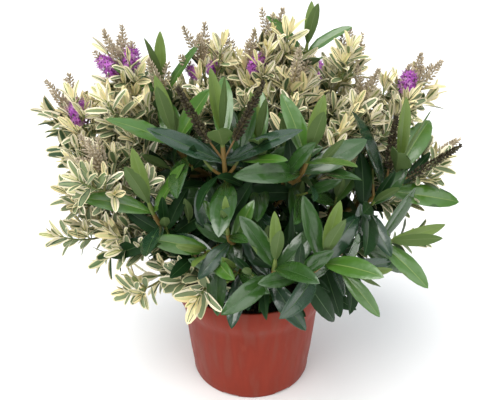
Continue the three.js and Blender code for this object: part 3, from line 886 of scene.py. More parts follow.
def raise_pattern(material, pattern, strength, height):
    """Lets a pattern stand out of the surface by a height in metres."""
    bump = material.node_tree.nodes.new("ShaderNodeBump")
    bump.inputs["Strength"].default_value = strength
    bump.inputs["Distance"].default_value = height
    material.node_tree.links.new(pattern, bump.inputs["Height"])
    connect(material, bump.outputs["Normal"], "Normal")


def connect(material, socket, name):
    """Leads a socket into one of the main shader's inputs."""
    shader = material.node_tree.nodes["Principled BSDF"]
    material.node_tree.links.new(socket, shader.inputs[name])


def finish_of(name, base, roughness, specular=0.5, relief=None, coat=0.0):
    """A plain base colour with its own gloss, and a fine relief of (size in mm, height in mm)."""
    material = bpy.data.materials.new(name)
    material.use_nodes = True
    material.diffuse_color = (*base, 1)
    settings = {
        "Base Color": (*base, 1),
        "Roughness": roughness,
        "Specular IOR Level": specular,
        "Coat Weight": coat,
        "Coat Roughness": 0.14,
    }
    for setting, value in settings.items():
        material.node_tree.nodes["Principled BSDF"].inputs[setting].default_value = value
    if relief:
        size, height = relief
        raise_pattern(material, pattern_on(material, 1 / (size * MM), 3), 1.0, height * MM)
    return material


def pot_finish(base):
    """Moulded plastic: uneven colour, faint upright streaks, pale scuffs and a fine grain."""
    material = finish_of("terracotta_plastic", base, 0.42, 0.14)
    base = np.array(base)
    greyed, dull, fresh = base * (0.94, 1.6, 2.15), base * (0.97, 1.05, 1.12), base * (1.04, 1.14, 1.2)
    streaks = pattern_on(material, 62, 5, (1, 1, 0.13))
    streaked = toned(material, streaks, [(0.34, greyed), (0.47, dull), (0.56, fresh), (0.7, greyed)])
    scuffs = pattern_on(material, 120, 8, (1, 1, 0.35))
    mix = material.node_tree.nodes.new("ShaderNodeMix")
    mix.data_type = "RGBA"
    factor, first, second = mix.inputs["Factor"], mix.inputs[6], mix.inputs[7]
    material.node_tree.links.new(toned(material, scuffs, [(0.6, 0.0), (0.8, 0.25)]), factor)
    material.node_tree.links.new(streaked, first)
    second.default_value = (0.34, 0.10, 0.06, 1)
    connect(material, mix.outputs[2], "Base Color")
    connect(material, toned(material, scuffs, [(0.3, 0.34), (0.7, 0.5)]), "Roughness")
    raise_pattern(material, pattern_on(material, 900, 3), 0.5, 0.00012)
    return material


def mottled_finish(name, low, high, size, roughness, relief):
    """A rough stuff in two tones, such as peat or bark."""
    material = finish_of(name, low, roughness, 0.3, relief)
    pattern = pattern_on(material, 1 / (size * MM), 6)
    connect(material, toned(material, pattern, [(0.35, low), (0.68, high)]), "Base Color")
    return material


# ---- Making pieces ----


def deselect_all():
    """Closes any edit and leaves nothing chosen."""
    if bpy.context.object and bpy.context.object.mode != "OBJECT":
        bpy.ops.object.mode_set(mode="OBJECT")
    bpy.ops.object.select_all(action="DESELECT")


def only(piece):
    """Leaves one piece chosen and active."""
    deselect_all()
    piece.select_set(True)
    bpy.context.view_layer.objects.active = piece


def mesh_piece(name, parts, materials, sharp=math.radians(50)):
    """One joined mesh from (points in mm, triangles, shade of each triangle) in arrays."""
    counts = np.cumsum([0] + [len(points) for points, _, _ in parts])
    points = np.concatenate([part[0] for part in parts]) * MM
    faces = np.concatenate([part[1] + start for part, start in zip(parts, counts)])
    shades = np.concatenate([part[2] for part in parts])
    mesh = bpy.data.meshes.new(name)
    mesh.vertices.add(len(points))
    mesh.vertices.foreach_set("co", points.astype(np.float32).ravel())
    mesh.loops.add(3 * len(faces))
    mesh.loops.foreach_set("vertex_index", faces.astype(np.int32).ravel())
    mesh.polygons.add(len(faces))
    mesh.polygons.foreach_set("loop_start", np.arange(0, 3 * len(faces), 3, dtype=np.int32))
    mesh.polygons.foreach_set("material_index", shades.astype(np.int32))
    for material in materials:
        mesh.materials.append(material)
    mesh.update(calc_edges=True)
    piece = bpy.data.objects.new(name, mesh)
    bpy.context.scene.collection.objects.link(piece)
    only(piece)
    bpy.ops.object.shade_smooth_by_angle(angle=sharp)
    return piece


def settle(piece, slot, *nodes):
    """The piece rides on the plant's one body and stands for its nodes, which it hides. The slot is not
    used.
    """
    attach(piece, BODY)
    if nodes:
        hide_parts(*nodes)


# How far a limb's pointed end stands out, in radii.
DOME = 0.8


def tube(path, radii, sides):
    """A closed round limb along a path, with a pointed dome at its far end."""
    path = np.asarray(path, float)
    radii = np.asarray(radii, float)
    before = np.concatenate([path[:1], path[:-1]])
    after = np.concatenate([path[1:], path[-1:]])
    points = []
    for centre, tangent, radius in zip(path, after - before, radii):
        left, front = across_stem(unit(tangent))
        turns = 2 * np.pi * (np.arange(sides)[:, None] + 0.5) / sides
        points.append(centre + radius * (left * np.cos(turns) + front * np.sin(turns)))
    end = path[-1] + unit(path[-1] - path[-2]) * radii[-1] * DOME
    points = np.concatenate([*points, end[None], path[:1]])
    rings = len(path)
    faces = []
    for i in range(rings - 1):
        for k in range(sides):
            a, b = i * sides + k, i * sides + (k + 1) % sides
            faces += [(a, b, b + sides), (a, b + sides, a + sides)]
    tip, foot = rings * sides, rings * sides + 1
    last = (rings - 1) * sides
    for k in range(sides):
        faces += [(last + k, last + (k + 1) % sides, tip), ((k + 1) % sides, k, foot)]
    return points, np.array(faces), np.zeros(len(faces), int)


# A leaf's blade: shares of its length, half widths there, and stations across.
BLADES = {
    G: {
        "rows": [0.0, 0.06, 0.18, 0.34, 0.52, 0.7, 0.85, 0.95],
        "half": [0.1, 0.22, 0.62, 0.92, 1.0, 0.87, 0.6, 0.28],
        "top": [-1.0, -0.55, -0.04, 0.04, 0.55, 1.0],
        "bottom": [-1.0, -0.55, -0.045, 0.045, 0.55, 1.0],
        "top_roles": ["upper", "upper", "rib", "upper", "upper"],
        "bottom_roles": ["under", "under", "under_rib", "under", "under"],
    },
    V: {
        "rows": [0.0, 0.1, 0.3, 0.53, 0.76, 0.92],
        "half": [0.16, 0.37, 0.83, 1.0, 0.84, 0.48],
        "top": [-1.0, -0.62, 0.0, 0.62, 1.0],
        "bottom": [-1.0, -0.6, 0.6, 1.0],
        "top_roles": ["margin", "upper", "upper", "margin"],
        "bottom_roles": ["rim", "under", "rim"],
    },
}
# The stations where a variegated leaf's cream edge starts, on its lower and its upper side.
EDGES = (0.6, 0.62)
ROLES = {G: ["upper", "rib", "under", "under_rib"], V: ["upper", "margin", "under", "rim"]}


def blade_faces(kind):
    """Triangles of one blade and the role of each, top vertices first and then the bottom's."""
    blade = BLADES[kind]
    rows, top, bottom = len(blade["rows"]), len(blade["top"]), len(blade["bottom"])
    inner = bottom - 2
    tip = rows * (top + inner)

    def low(r, c):
        """A vertex of the bottom, which shares its two edges with the top."""
        if c == 0:
            return r * top
        if c == bottom - 1:
            return r * top + top - 1
        return rows * top + r * inner + c - 1

    faces, roles = [], []

    def add(role, *corners):
        names = ROLES[kind]
        for i in range(1, len(corners) - 1):
            faces.append((corners[0], corners[i], corners[i + 1]))
            roles.append(names.index(role))

    for r in range(rows - 1):
        for c in range(top - 1):
            a = r * top + c
            add(blade["top_roles"][c], a, a + 1, a + top + 1, a + top)
        for c in range(bottom - 1):
            add(blade["bottom_roles"][c], low(r, c + 1), low(r, c), low(r + 1, c), low(r + 1, c + 1))
    r = rows - 1
    for c in range(top - 1):
        role = "margin" if kind == V else blade["top_roles"][c]
        add(role, r * top + c, r * top + c + 1, tip)
    for c in range(bottom - 1):
        add("rim" if kind == V else "under", low(r, c + 1), low(r, c), tip)
    ring = [*range(top), *(low(0, c) for c in range(bottom - 2, 0, -1))]
    add("under", *reversed(ring))
    return np.array(faces), np.array(roles)


def paleness(leaf):
    """How far a variegated leaf has turned cream: most of all the young and leading ones, with high leaves
    paler still as painted light.
    """
    by_pair = at_pair([1.0, 0.95, 0.7, 0.4, 0.05], leaf["pair"])
    by_rank = 0.35 if leaf["rank"] == 0 else -0.2
    # Painted light: leaves higher up are dealt paler, creamier shades, as where the top of the bush is lit.
    painted_light_by_height = 0.28 * min(max((leaf["base"][2] - 330) / 50, 0), 1)
    return by_pair + (by_rank + 0.4 * (leaf["tone"] - 0.5) + leaf["pale"]) + painted_light_by_height


def border_of(leaf):
    """Where a variegated leaf's cream edge starts, as a share of its half width."""
    return max(0.3, 0.72 - 0.34 * min(paleness(leaf), 1) - 0.12 * leaf["chance"])


# A leaf's droop is summed in this many steps.
BEND_STEPS = 40


def leaf_points(leaves, kind, thickness):
    """All vertices of many leaves at once: (leaf, vertex, 3) in millimetres."""
    blade = BLADES[kind]

    def column(key):
        """One value of every leaf."""
        return np.array([leaf[key] for leaf in leaves], float)

    base, direction, upper = column("base"), column("direction"), column("upper")
    side = np.cross(direction, upper)
    length, width = column("length")[:, None], column("width")[:, None]
    shares = np.array([*blade["rows"], 1.0])
    droop, sway, twist = column("droop")[:, None], column("sway")[:, None], column("twist")[:, None]
    fine = np.linspace(0, 1, BEND_STEPS + 1)
    angle = droop * fine**1.3
    step = np.diff(fine, prepend=0)
    ahead = np.cumsum(np.cos(angle) * step, 1)
    fall = np.cumsum(np.sin(angle) * step, 1)
    pick = np.clip(np.round(shares * BEND_STEPS).astype(int), 0, BEND_STEPS)
    ahead, fall, angle = ahead[:, pick] * length, fall[:, pick] * length, angle[:, pick]
    drift = sway * length * shares**2 / 2
    centre = (
        base[:, None]
        + direction[:, None] * ahead[..., None]
        - upper[:, None] * fall[..., None]
        + side[:, None] * drift[..., None]
    )
    normal = upper[:, None] * np.cos(angle)[..., None] + direction[:, None] * np.sin(angle)[..., None]
    turn = (twist * shares)[..., None]
    across = side[:, None] * np.cos(turn) + normal * np.sin(turn)
    raised = normal * np.cos(turn) - side[:, None] * np.sin(turn)
    half = np.array([*blade["half"], 0.0]) * width / 2
    fold, wave, phase = column("fold")[:, None], column("wave")[:, None], column("phase")[:, None]
    border = np.array([border_of(leaf) for leaf in leaves])[:, None] if kind == V else None
    bulge = 0.55 if kind == G else 0.25

    def surface(stations, offset, rows):
        """The upper or lower face's vertices, at stations across the blades."""
        found = []
        for station in stations:
            edge = kind == V and abs(station) in EDGES
            reach = math.copysign(1, station) * border if edge else station
            size = np.abs(reach)
            out = reach * half * np.cos(fold)
            lift = half * (size * np.sin(fold) + bulge * (size - size**2))
            lift = lift + wave * half * size * np.sin(2 * np.pi * 1.6 * shares + phase + station * 1.3)
            bulk = offset * thickness * (1 - min(abs(station), 1) ** 2)
            bulk = bulk * (0.55 + 0.45 * np.sin(np.pi * shares))
            if kind == G and abs(station) < 0.1:
                bulk = bulk * (2.2 if offset < 0 else 0.7)
            found.append(centre + across * out[..., None] + raised * (lift + bulk)[..., None])
        return np.stack(found, 2)[:, :rows]

    rows = len(blade["rows"])
    count = len(leaves)
    top = surface(blade["top"], 0.5, rows).reshape(count, -1, 3)
    bottom = surface(blade["bottom"][1:-1], -0.5, rows).reshape(count, -1, 3)
    return np.concatenate([top, bottom, centre[:, -1:]], 1)


def leaf_part(leaves, kind, thickness, finishes, finishes_of):
    """The joined leaves as one part for mesh_piece. finishes_of names a leaf's finish for each role."""
    faces, roles = blade_faces(kind)
    names = [finish.name for finish in finishes]
    shades = np.array([[names.index(name) for name in finishes_of(leaf)] for leaf in leaves])
    points = leaf_points(leaves, kind, thickness)
    count, corners = points.shape[:2]
    starts = np.arange(count)[:, None, None] * corners
    return points.reshape(-1, 3), (faces[None] + starts).reshape(-1, 3), shades[:, roles].ravel()


# ---- Operators ----


def set_edit(piece, kind, chosen=None):
    """Opens a piece for editing, with all or none of its parts chosen if that is asked for."""
    only(piece)
    bpy.ops.object.mode_set(mode="EDIT")
    bpy.ops.mesh.select_mode(type=kind)
    if chosen:
        bpy.ops.mesh.select_all(action=chosen)


def close_edit():
    """Turns all faces outwards and closes the edit."""
    bpy.ops.mesh.select_all(action="SELECT")
    bpy.ops.mesh.normals_make_consistent(inside=False)
    bpy.ops.object.mode_set(mode="OBJECT")


def step_out(radius_before, radius, rise, aside=0):
    """Extrudes the chosen face and draws it to a new radius and place."""
    bpy.ops.mesh.extrude_region_move(TRANSFORM_OT_translate={"value": (aside, 0, rise)})
    scale = radius / radius_before
    bpy.ops.transform.resize(value=(scale, scale, 1))


def eased(share):
    """A share from 0 to 1 that starts and ends gently."""
    return share * share * (3 - 2 * share)


def ring_spot(angle, out):
    """A place on the floor, at an angle round the pot's middle and a distance from it."""
    return out * math.cos(angle), out * math.sin(angle), 0


# The pot's flat foot starts this far inside its base, and its straight side has rings at these heights.
POT_START = 0.0045
SIDE_HEIGHTS = (0.035, 0.061, 0.065, 0.085)
FLARE_SHARES = (0, 0.2, 0.4, 0.6, 0.8, 1)
DRAINS = {"count": 3, "out": 0.05, "radius": 0.0055}
NOTCHES = {"count": 7, "first": math.radians(-110), "size": (0.01, 0.021, 0.006)}


def pot_outline(sizes):
    """The pot's section from its foot, over its lip and down inside: (radius, height) in metres."""
    rim, neck, base, wall, top = (
        sizes.rim_radius, sizes.neck_radius, sizes.base_radius, sizes.wall, sizes.height
    )
    band_foot = top - sizes.band_height
    flare = band_foot - sizes.neck_height
    slope = (neck - base) / sizes.neck_height
    lip_inner = rim - wall - 0.0008

    def flared(share):
        """The flare's outside at a share of its height."""
        return neck + (rim - 0.0008 - neck) * eased(share), sizes.neck_height + flare * share

    return [
        (base - 0.0012, 0.0012),
        (base, 0.0045),
        (base + 0.0006, 0.014),
        *((base + slope * height, height) for height in SIDE_HEIGHTS),
        *(flared(share) for share in FLARE_SHARES),
        (rim - 0.0003, band_foot + 0.003),
        (rim, top - 0.0016),
        (rim - 0.0005, top - 0.0004),
        (rim - 0.0011, top),
        (lip_inner + 0.0004, top),
        (lip_inner, top - 0.0006),
        (lip_inner - 0.0002, band_foot),
        *((radius - wall, height) for radius, height in map(flared, (0.75, 0.5, 0.25, 0))),
        (base - wall, 0.0056),
        (base - 0.006, 0.0026),
    ]


class HEBE_OT_nursery_pot(bpy.types.Operator):
    """Turn up the round plastic pot, with its flare, band, lip, feet and drain holes"""

    bl_idname = "hebe.nursery_pot"
    bl_label = "Nursery pot"

    def execute(self, context):
        sizes = context.scene.hebe_pot
        radius, height = sizes.base_radius - POT_START, 0.0
        deselect_all()
        bpy.ops.mesh.primitive_circle_add(
            vertices=sizes.rounds, radius=radius, fill_type="NGON", location=(0, 0, 0)
        )
        pot = context.object
        pot.name = pot.data.name = "nursery_pot"
        set_edit(pot, "FACE", "SELECT")
        for new_radius, new_height in pot_outline(sizes):
            step_out(radius, new_radius, new_height - height)
            radius, height = new_radius, new_height
        close_edit()

        cutters = []
        for k in range(DRAINS["count"]):
            spot = ring_spot(2 * math.pi * k / DRAINS["count"], DRAINS["out"])
            bpy.ops.mesh.primitive_cylinder_add(
                vertices=24, radius=DRAINS["radius"], depth=0.02, location=spot
            )
            cutters.append(context.object)
        for k in range(NOTCHES["count"]):
            angle = NOTCHES["first"] + 2 * math.pi * k / NOTCHES["count"]
            spot = ring_spot(angle, sizes.base_radius + 0.001)
            bpy.ops.mesh.primitive_cube_add(
                size=1, location=spot, rotation=(0, 0, angle), scale=NOTCHES["size"]
            )
            cutters.append(context.object)
        for cutter in cutters:
            only(pot)
            cut = pot.modifiers.new("cut", "BOOLEAN")
            cut.object = cutter
            cut.operation = "DIFFERENCE"
            bpy.ops.object.modifier_apply(modifier=cut.name)
            bpy.data.objects.remove(cutter)
        only(pot)
        bpy.ops.object.shade_smooth_by_angle(angle=math.radians(32))
        pot.data.materials.append(pot_finish(tuple(context.scene.hebe_colours.pot)))
        settle(pot, "pot", "pot")
        return {"FINISHED"}


PEAT = {"sink": 0.0025, "dome": 0.002, "lumps": 0.0012, "depth": 0.02, "taper": 0.96, "crumbs": 420}


class HEBE_OT_potting_mix(bpy.types.Operator):
    """Lay the lumpy potting mix in the pot, with loose crumbs on it"""

    bl_idname = "hebe.potting_mix"
    bl_label = "Potting mix"

    def execute(self, context):
        top = context.scene.hebe_pot.soil_top
        dark = tuple(context.scene.hebe_colours.peat)
        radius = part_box("potting_mix")[1].x - 0.001
        dice = random.Random(5)
        self.bed(context, top, radius, dark, dice)
        self.crumbs(top / MM, radius / MM, dark, dice)
        return {"FINISHED"}

    def bed(self, context, top, radius, dark, dice):
        """The body of the mix: a low dome with lumps, on a tapered block."""
        deselect_all()
        bpy.ops.mesh.primitive_circle_add(
            vertices=64, radius=radius, fill_type="TRIFAN", location=(0, 0, top - PEAT["sink"])
        )
        bpy.ops.object.transform_apply(location=True, rotation=True, scale=True)
        peat = context.object
        peat.name = peat.data.name = "peat_bed"
        set_edit(peat, "VERT", "SELECT")
        bpy.ops.mesh.subdivide(number_cuts=7)
        bpy.ops.object.mode_set(mode="OBJECT")
        for vertex in peat.data.vertices:
            far = math.hypot(vertex.co.x, vertex.co.y) / radius
            if far < 0.985:
                vertex.co.z += PEAT["dome"] * (1 - far) + dice.uniform(-PEAT["lumps"], PEAT["lumps"])
            vertex.select = False
        set_edit(peat, "FACE", "SELECT")
        bpy.ops.mesh.extrude_region_move(TRANSFORM_OT_translate={"value": (0, 0, -PEAT["depth"])})
        bpy.ops.transform.resize(value=(PEAT["taper"], PEAT["taper"], 0.0))
        close_edit()
        bpy.ops.object.shade_smooth_by_angle(angle=math.radians(60))
        brown = tuple(4.5 * c for c in dark)
        peat.data.materials.append(mottled_finish("damp_peat", dark, brown, 3, 0.95, (1.6, 0.8)))
        settle(peat, "potting_mix", "potting_mix")

    def crumbs(self, top, radius, dark, dice):
        """Loose crumbs that lie on the mix, from one rounded lump. Sizes are in millimetres here."""
        lump = bmesh.new()
        bmesh.ops.create_icosphere(lump, subdivisions=1, radius=1)
        corners = np.array([vertex.co for vertex in lump.verts])
        faces = np.array([[vertex.index for vertex in face.verts] for face in lump.faces])
        lump.free()
        parts = []
        for _ in range(PEAT["crumbs"]):
            angle, far = dice.uniform(0, 6.283), math.sqrt(dice.random()) * (radius - 4)
            size = dice.uniform(0.7, 2.4)
            stretch = np.array([dice.uniform(0.7, 1.5), dice.uniform(0.7, 1.4), dice.uniform(0.4, 0.8)])
            turn = np.array(Matrix.Rotation(dice.uniform(0, 6.283), 3, "Z"))
            shape = corners * stretch * size * np.array([[dice.uniform(0.8, 1.15)] for _ in corners])
            height = top - 0.6 - 2 * far / radius
            spot = np.array([far * math.cos(angle), far * math.sin(angle), height])
            shade = dice.choice([0, 0, 0, 1, 1, 2])
            parts.append((shape @ turn.T + spot, faces, np.full(len(faces), shade)))
        finishes = [
            finish_of("crumb_dark", dark, 0.95, 0.2, (0.8, 0.3)),
            finish_of("crumb_brown", tuple(6 * c for c in dark), 0.9, 0.3, (0.8, 0.3)),
            finish_of("crumb_bark", (0.12, 0.07, 0.04), 0.85, 0.3, (0.8, 0.3)),
        ]
        settle(mesh_piece("peat_crumbs", parts, finishes), "potting_mix")


# The foot stem from its flare up: radius and height in millimetres.
FOOT_OUTLINE = [
    (15.6, 131),
    (14.2, 135),
    (13.4, 141),
    (12.6, 150),
    (12.0, 160),
    (11.2, 168),
    (9.5, 172.5),
    (6, 174.5),
]
SCARS = {"steps": 40, "every": 4, "swell": 0.0005}


class HEBE_OT_bark_limbs(bpy.types.Operator):
    """Grow the short foot stem and its boughs, with bark relief and leaf scars"""

    bl_idname = "hebe.bark_limbs"
    bl_label = "Foot stem and boughs"

    def execute(self, context):
        bark = tuple(context.scene.hebe_colours.bark)
        pale = tuple(min(1, 2.3 * c) for c in bark)
        finish = mottled_finish("old_bark", bark, pale, 2.2, 0.85, (1.1, 0.5))
        grain = bpy.data.textures.new("bark_relief", "CLOUDS")
        grain.noise_scale = 0.004
        grain.noise_depth = 3

        deselect_all()
        base = SOIL_TOP - 3
        bpy.ops.mesh.primitive_cylinder_add(
            vertices=32,
            radius=FOOT["flare_radius"] * MM,
            depth=2 * MM,
            location=(0, 0, base * MM),
        )
        foot = context.object
        foot.name = foot.data.name = "foot_bark"
        bpy.ops.object.transform_apply(location=True, rotation=True, scale=True)
        set_edit(foot, "FACE", "DESELECT")
        bpy.ops.object.mode_set(mode="OBJECT")
        for face in foot.data.polygons:
            face.select = face.normal.z > 0.9
        set_edit(foot, "FACE")
        radius, height, shift = FOOT["flare_radius"], base + 1, 0.0
        for new_radius, new_height in FOOT_OUTLINE:
            lean = FOOT["lean"] * (new_height - base) / (FOOT["top"] - base)
            step_out(radius, new_radius, (new_height - height) * MM, (lean - shift) * MM)
            radius, height, shift = new_radius, new_height, lean
        bpy.ops.mesh.select_all(action="SELECT")
        bpy.ops.mesh.quads_convert_to_tris()
        bpy.ops.mesh.subdivide(number_cuts=2)
        bpy.ops.object.mode_set(mode="OBJECT")
        self.roughen(foot, grain, 0.0022)
        foot.data.materials.append(finish)
        settle(foot, "bark", "foot_stem")

        pieces = []
        for _, curve in grown(context)["boughs"]:
            limb = self.limb(context, curve)
            self.roughen(limb, grain, 0.0009)
            pieces.append(limb)
        deselect_all()
        for piece in pieces:
            piece.select_set(True)
        context.view_layer.objects.active = pieces[0]
        bpy.ops.object.join()
        boughs = context.object
        boughs.name = boughs.data.name = "bough_bark"
        boughs.data.materials.clear()
        boughs.data.materials.append(finish)
        settle(boughs, "bark", *["bough_" + name for name, *_ in BOUGHS])
        return {"FINISHED"}

    def limb(self, context, curve):
        """A bough as a bevelled curve made a mesh, with a swollen scar every few millimetres."""
        deselect_all()
        bpy.ops.curve.primitive_bezier_curve_add()
        line = context.object
        start, control, end = (corner * MM for corner in curve.corners)
        first, last = line.data.splines[0].bezier_points
        for point, place, handle in ((first, start, control), (last, end, control)):
            point.handle_left_type = point.handle_right_type = "FREE"
            point.co = Vector(place)
            inner = place + (handle - place) * 2 / 3
            if point is first:
                point.handle_right, point.handle_left = Vector(inner), Vector(2 * place - inner)
            else:
                point.handle_left, point.handle_right = Vector(inner), Vector(2 * place - inner)
        first.radius, last.radius = BOUGH["base_radius"], BOUGH["tip_radius"]
        line.data.dimensions = "3D"
        line.data.bevel_depth = MM
        line.data.bevel_resolution = 3
        line.data.resolution_u = 40
        line.data.use_fill_caps = True
        line.location = (0, 0, 0)
        bpy.ops.object.convert(target="MESH")
        limb = context.object
        set_edit(limb, "VERT", "SELECT")
        bpy.ops.mesh.remove_doubles(threshold=1e-6)
        bpy.ops.mesh.select_all(action="DESELECT")
        bpy.ops.object.mode_set(mode="OBJECT")
        centres = curve.at(np.linspace(0, 1, SCARS["steps"] + 1)) * MM
        scars = range(SCARS["every"], SCARS["steps"], SCARS["every"])
        for vertex in limb.data.vertices:
            nearest = int(np.argmin(((centres - np.array(vertex.co)) ** 2).sum(1)))
            vertex.select = nearest in scars
        set_edit(limb, "VERT")
        bpy.ops.transform.shrink_fatten(value=SCARS["swell"])
        bpy.ops.object.mode_set(mode="OBJECT")
        return limb

    def roughen(self, piece, grain, height):
        """Raises the grain on a piece, by a height in metres."""
        only(piece)
        relief = piece.modifiers.new("relief", "DISPLACE")
        relief.texture = grain
        relief.texture_coords = "LOCAL"
        relief.strength = height
        relief.mid_level = 0.5
        bpy.ops.object.modifier_apply(modifier=relief.name)
        bpy.ops.object.shade_smooth_by_angle(angle=math.radians(60))


# Where a twig turns to its young colour, and where a stem's old foot ends: shares of the length.
TWIG_YOUNG_FROM = 0.4
STEM_OLD_TO = 0.22


class HEBE_OT_stems(bpy.types.Operator):
    """Grow the leading stems and finer twigs of both kinds of shoot"""

    bl_idname = "hebe.stems"
    bl_label = "Stems and twigs"

    def execute(self, context):
        finishes = {
            V: [
                finish_of("stem_olive", (0.20, 0.19, 0.065), 0.6, 0.4, (1.2, 0.15)),
                finish_of("stem_green", (0.17, 0.22, 0.07), 0.55, 0.4, (1.2, 0.15)),
                finish_of("stem_brown", (0.13, 0.085, 0.045), 0.75, 0.3, (1.0, 0.3)),
            ],
            G: [
                finish_of("stem_amber", (0.21, 0.13, 0.03), 0.5, 0.45, (1.5, 0.15)),
                finish_of("stem_leaf_green", (0.15, 0.20, 0.04), 0.5, 0.45, (1.5, 0.15)),
                finish_of("stem_old", (0.15, 0.095, 0.04), 0.75, 0.3, (1.0, 0.3)),
            ],
        }
        for kind, name, slot in (
            (V, "variegated_stems", "variegated_foliage"),
            (G, "green_stems", "green_foliage"),
        ):
            parts = []
            for shoot in grown(context)["shoots"]:
                if shoot["kind"] != kind:
                    continue
                curve, spec = shoot["curve"], KINDS[kind]
                thick, thin = spec["stem_radius"] if shoot["rank"] == 0 else spec["twig_radius"]
                steps = max(6, int(curve.length / (6 if shoot["rank"] == 0 else 8)))
                shares = np.linspace(0, 1, steps + 1)
                path = curve.at(shares)
                radii = thick + (thin - thick) * shares
                radii = radii * (1 + 0.1 * (np.arange(steps + 1) % 3 == 0))
                radii[-1] *= 0.7
                sides = 8 if kind == G or shoot["rank"] == 0 else 6
                points, faces, shades = tube(path, radii, sides)
                along = np.repeat(np.arange(steps) / steps, 2 * sides)
                young = TWIG_YOUNG_FROM if shoot["rank"] else spec["young_from"]
                tone = np.where(along > young, 1, 0)
                if shoot["rank"] == 0:
                    tone = np.where(along < STEM_OLD_TO, 2, tone)
                shades[: len(tone)] = tone
                parts.append((points, faces, shades))
            settle(mesh_piece(name, parts, finishes[kind], math.radians(70)), slot)
        return {"FINISHED"}


def nodes_of(kind, side):
    """The masses of a kind on the given side of the plant."""
    masses = [mass for *_, masses in BOUGHS for mass in masses]
    return [mass["name"] for mass in masses if mass["kind"] == kind and side(mass["tip"])]


def picked(chance, limits, rest):
    """The first name of (limit, name) whose limit is above the chance, or else the rest."""
    for limit, name in limits:
        if chance < limit:
            return name
    return rest


def green_upper(leaf):
    """The finish of a green leaf's upper face: bright and young at the tips, and darker inside, partly by
    age and partly as painted shade.
    """
    pair, chance = leaf["pair"], leaf["chance"]
    # Painted light and shade: leaves higher up are dealt brighter shades and leaves lower down darker ones,
    # as if lit from above.
    height = min(max((leaf["base"][2] - 240) / 80, 0), 1)
    # Leaves of the inner shoots are mostly dark: older leaves, and painted shade inside the bush.
    if leaf["rank"] and pair < 2:
        if chance > 0.35 + 0.45 * height:
            return "green_deep"
        limits = [(0.22 - 0.2 * pair, "green_young"), (0.36 - 0.2 * pair, "green_bright")]
        return picked(chance, limits, "green_mid")
    if leaf["rank"]:
        if chance < 0.15 + 0.4 * height:
            return "green_blue"
        return "green_mid" if chance > 1 - 0.2 * height else "green_deep"
    if pair == 0:
        return "green_young"
    if pair == 1:
        return picked(chance, [(0.4 + 0.4 * height, "green_bright")], "green_mid")
    if pair == 2:
        bright = 0.1 + 0.5 * leaf["tone"] * height
        return picked(chance, [(bright, "green_bright"), (0.4 + 0.4 * height, "green_mid")], "green_blue")
    limits = [(0.1 + 0.45 * height, "green_mid"), (0.3 + 0.6 * height, "green_blue")]
    return picked(chance, limits, "green_deep")


def green_finishes(leaf):
    """A green leaf's finishes, one for each of its roles."""
    upper = green_upper(leaf)
    rib = "rib_young" if upper in ("green_bright", "green_young") else "rib_deep"
    return [upper, rib, "under_young" if leaf["pair"] < 2 else "under_pale", "under_rib"]


def variegated_finishes(leaf):
    """A variegated leaf's finishes, one for each of its roles."""
    pale, chance = paleness(leaf), leaf["chance"]
    if pale > 0.95:
        middle = picked(chance, [(0.38, "sage_butter"), (0.62, "sage_pale")], "sage_mid")
        edge = "cream_butter" if chance < 0.5 else "cream_bright"
        return [middle, edge, "under_cream", edge]
    if pale > 0.6:
        middle = picked(chance, [(0.2, "sage_pale"), (0.55, "sage_mid")], "sage_deep")
        edge = "cream_bright" if chance < 0.6 else "cream_butter"
        return [middle, edge, "under_cream", "cream_bright"]
    if pale > 0.25:
        middle = picked(chance, [(0.08, "sage_pale"), (0.4, "sage_mid")], "sage_deep")
        edge = "cream_bright" if chance < 0.6 else "cream_mid"
        return [middle, edge, "under_sage", "cream_mid"]
    middle = "sage_mid" if chance < 0.25 else "sage_deep"
    return [middle, "cream_mid" if chance < 0.8 else "cream_dull", "under_sage", "cream_mid"]


class HEBE_OT_green_leaves(bpy.types.Operator):
    """Set the long glossy green leaves, in shades by age and spray, with painted light and shade by height
    """

    bl_idname = "hebe.green_leaves"
    bl_label = "Green leaves"

    def execute(self, context):
        plant = context.scene.hebe_plant
        gloss = (10, 1.0)
        finishes = [
            finish_of("green_deep", (0.010, 0.034, 0.0085), 0.36, 0.16, gloss),
            finish_of("green_blue", (0.015, 0.047, 0.020), 0.27, 0.55, gloss, 0.65),
            finish_of("green_mid", (0.025, 0.075, 0.012), 0.27, 0.55, gloss, 0.55),
            finish_of("green_bright", (0.055, 0.145, 0.015), 0.3, 0.55, gloss, 0.5),
            finish_of("green_young", (0.135, 0.205, 0.042), 0.42, 0.45, gloss),
            finish_of("rib_deep", (0.040, 0.092, 0.025), 0.35, 0.45),
            finish_of("rib_young", (0.17, 0.25, 0.065), 0.4, 0.45),
            finish_of("under_pale", (0.042, 0.088, 0.024), 0.55, 0.35, (5, 0.3)),
            finish_of("under_young", (0.090, 0.145, 0.038), 0.55, 0.35, (5, 0.3)),
            finish_of("under_rib", (0.13, 0.18, 0.06), 0.5, 0.4),
        ]

        leaves = [leaf for leaf in grown(context)["leaves"] if leaf["kind"] == G]
        for name, side in (("front", lambda tip: tip[1] <= 0), ("back", lambda tip: tip[1] > 0)):
            nodes = nodes_of(G, side)
            chosen = [leaf for leaf in leaves if leaf["mass"] in nodes]
            part = leaf_part(chosen, G, plant.leaf_thickness / MM, finishes, green_finishes)
            settle(mesh_piece("green_leaves_" + name, [part], finishes), "green_foliage", *nodes)
        return {"FINISHED"}


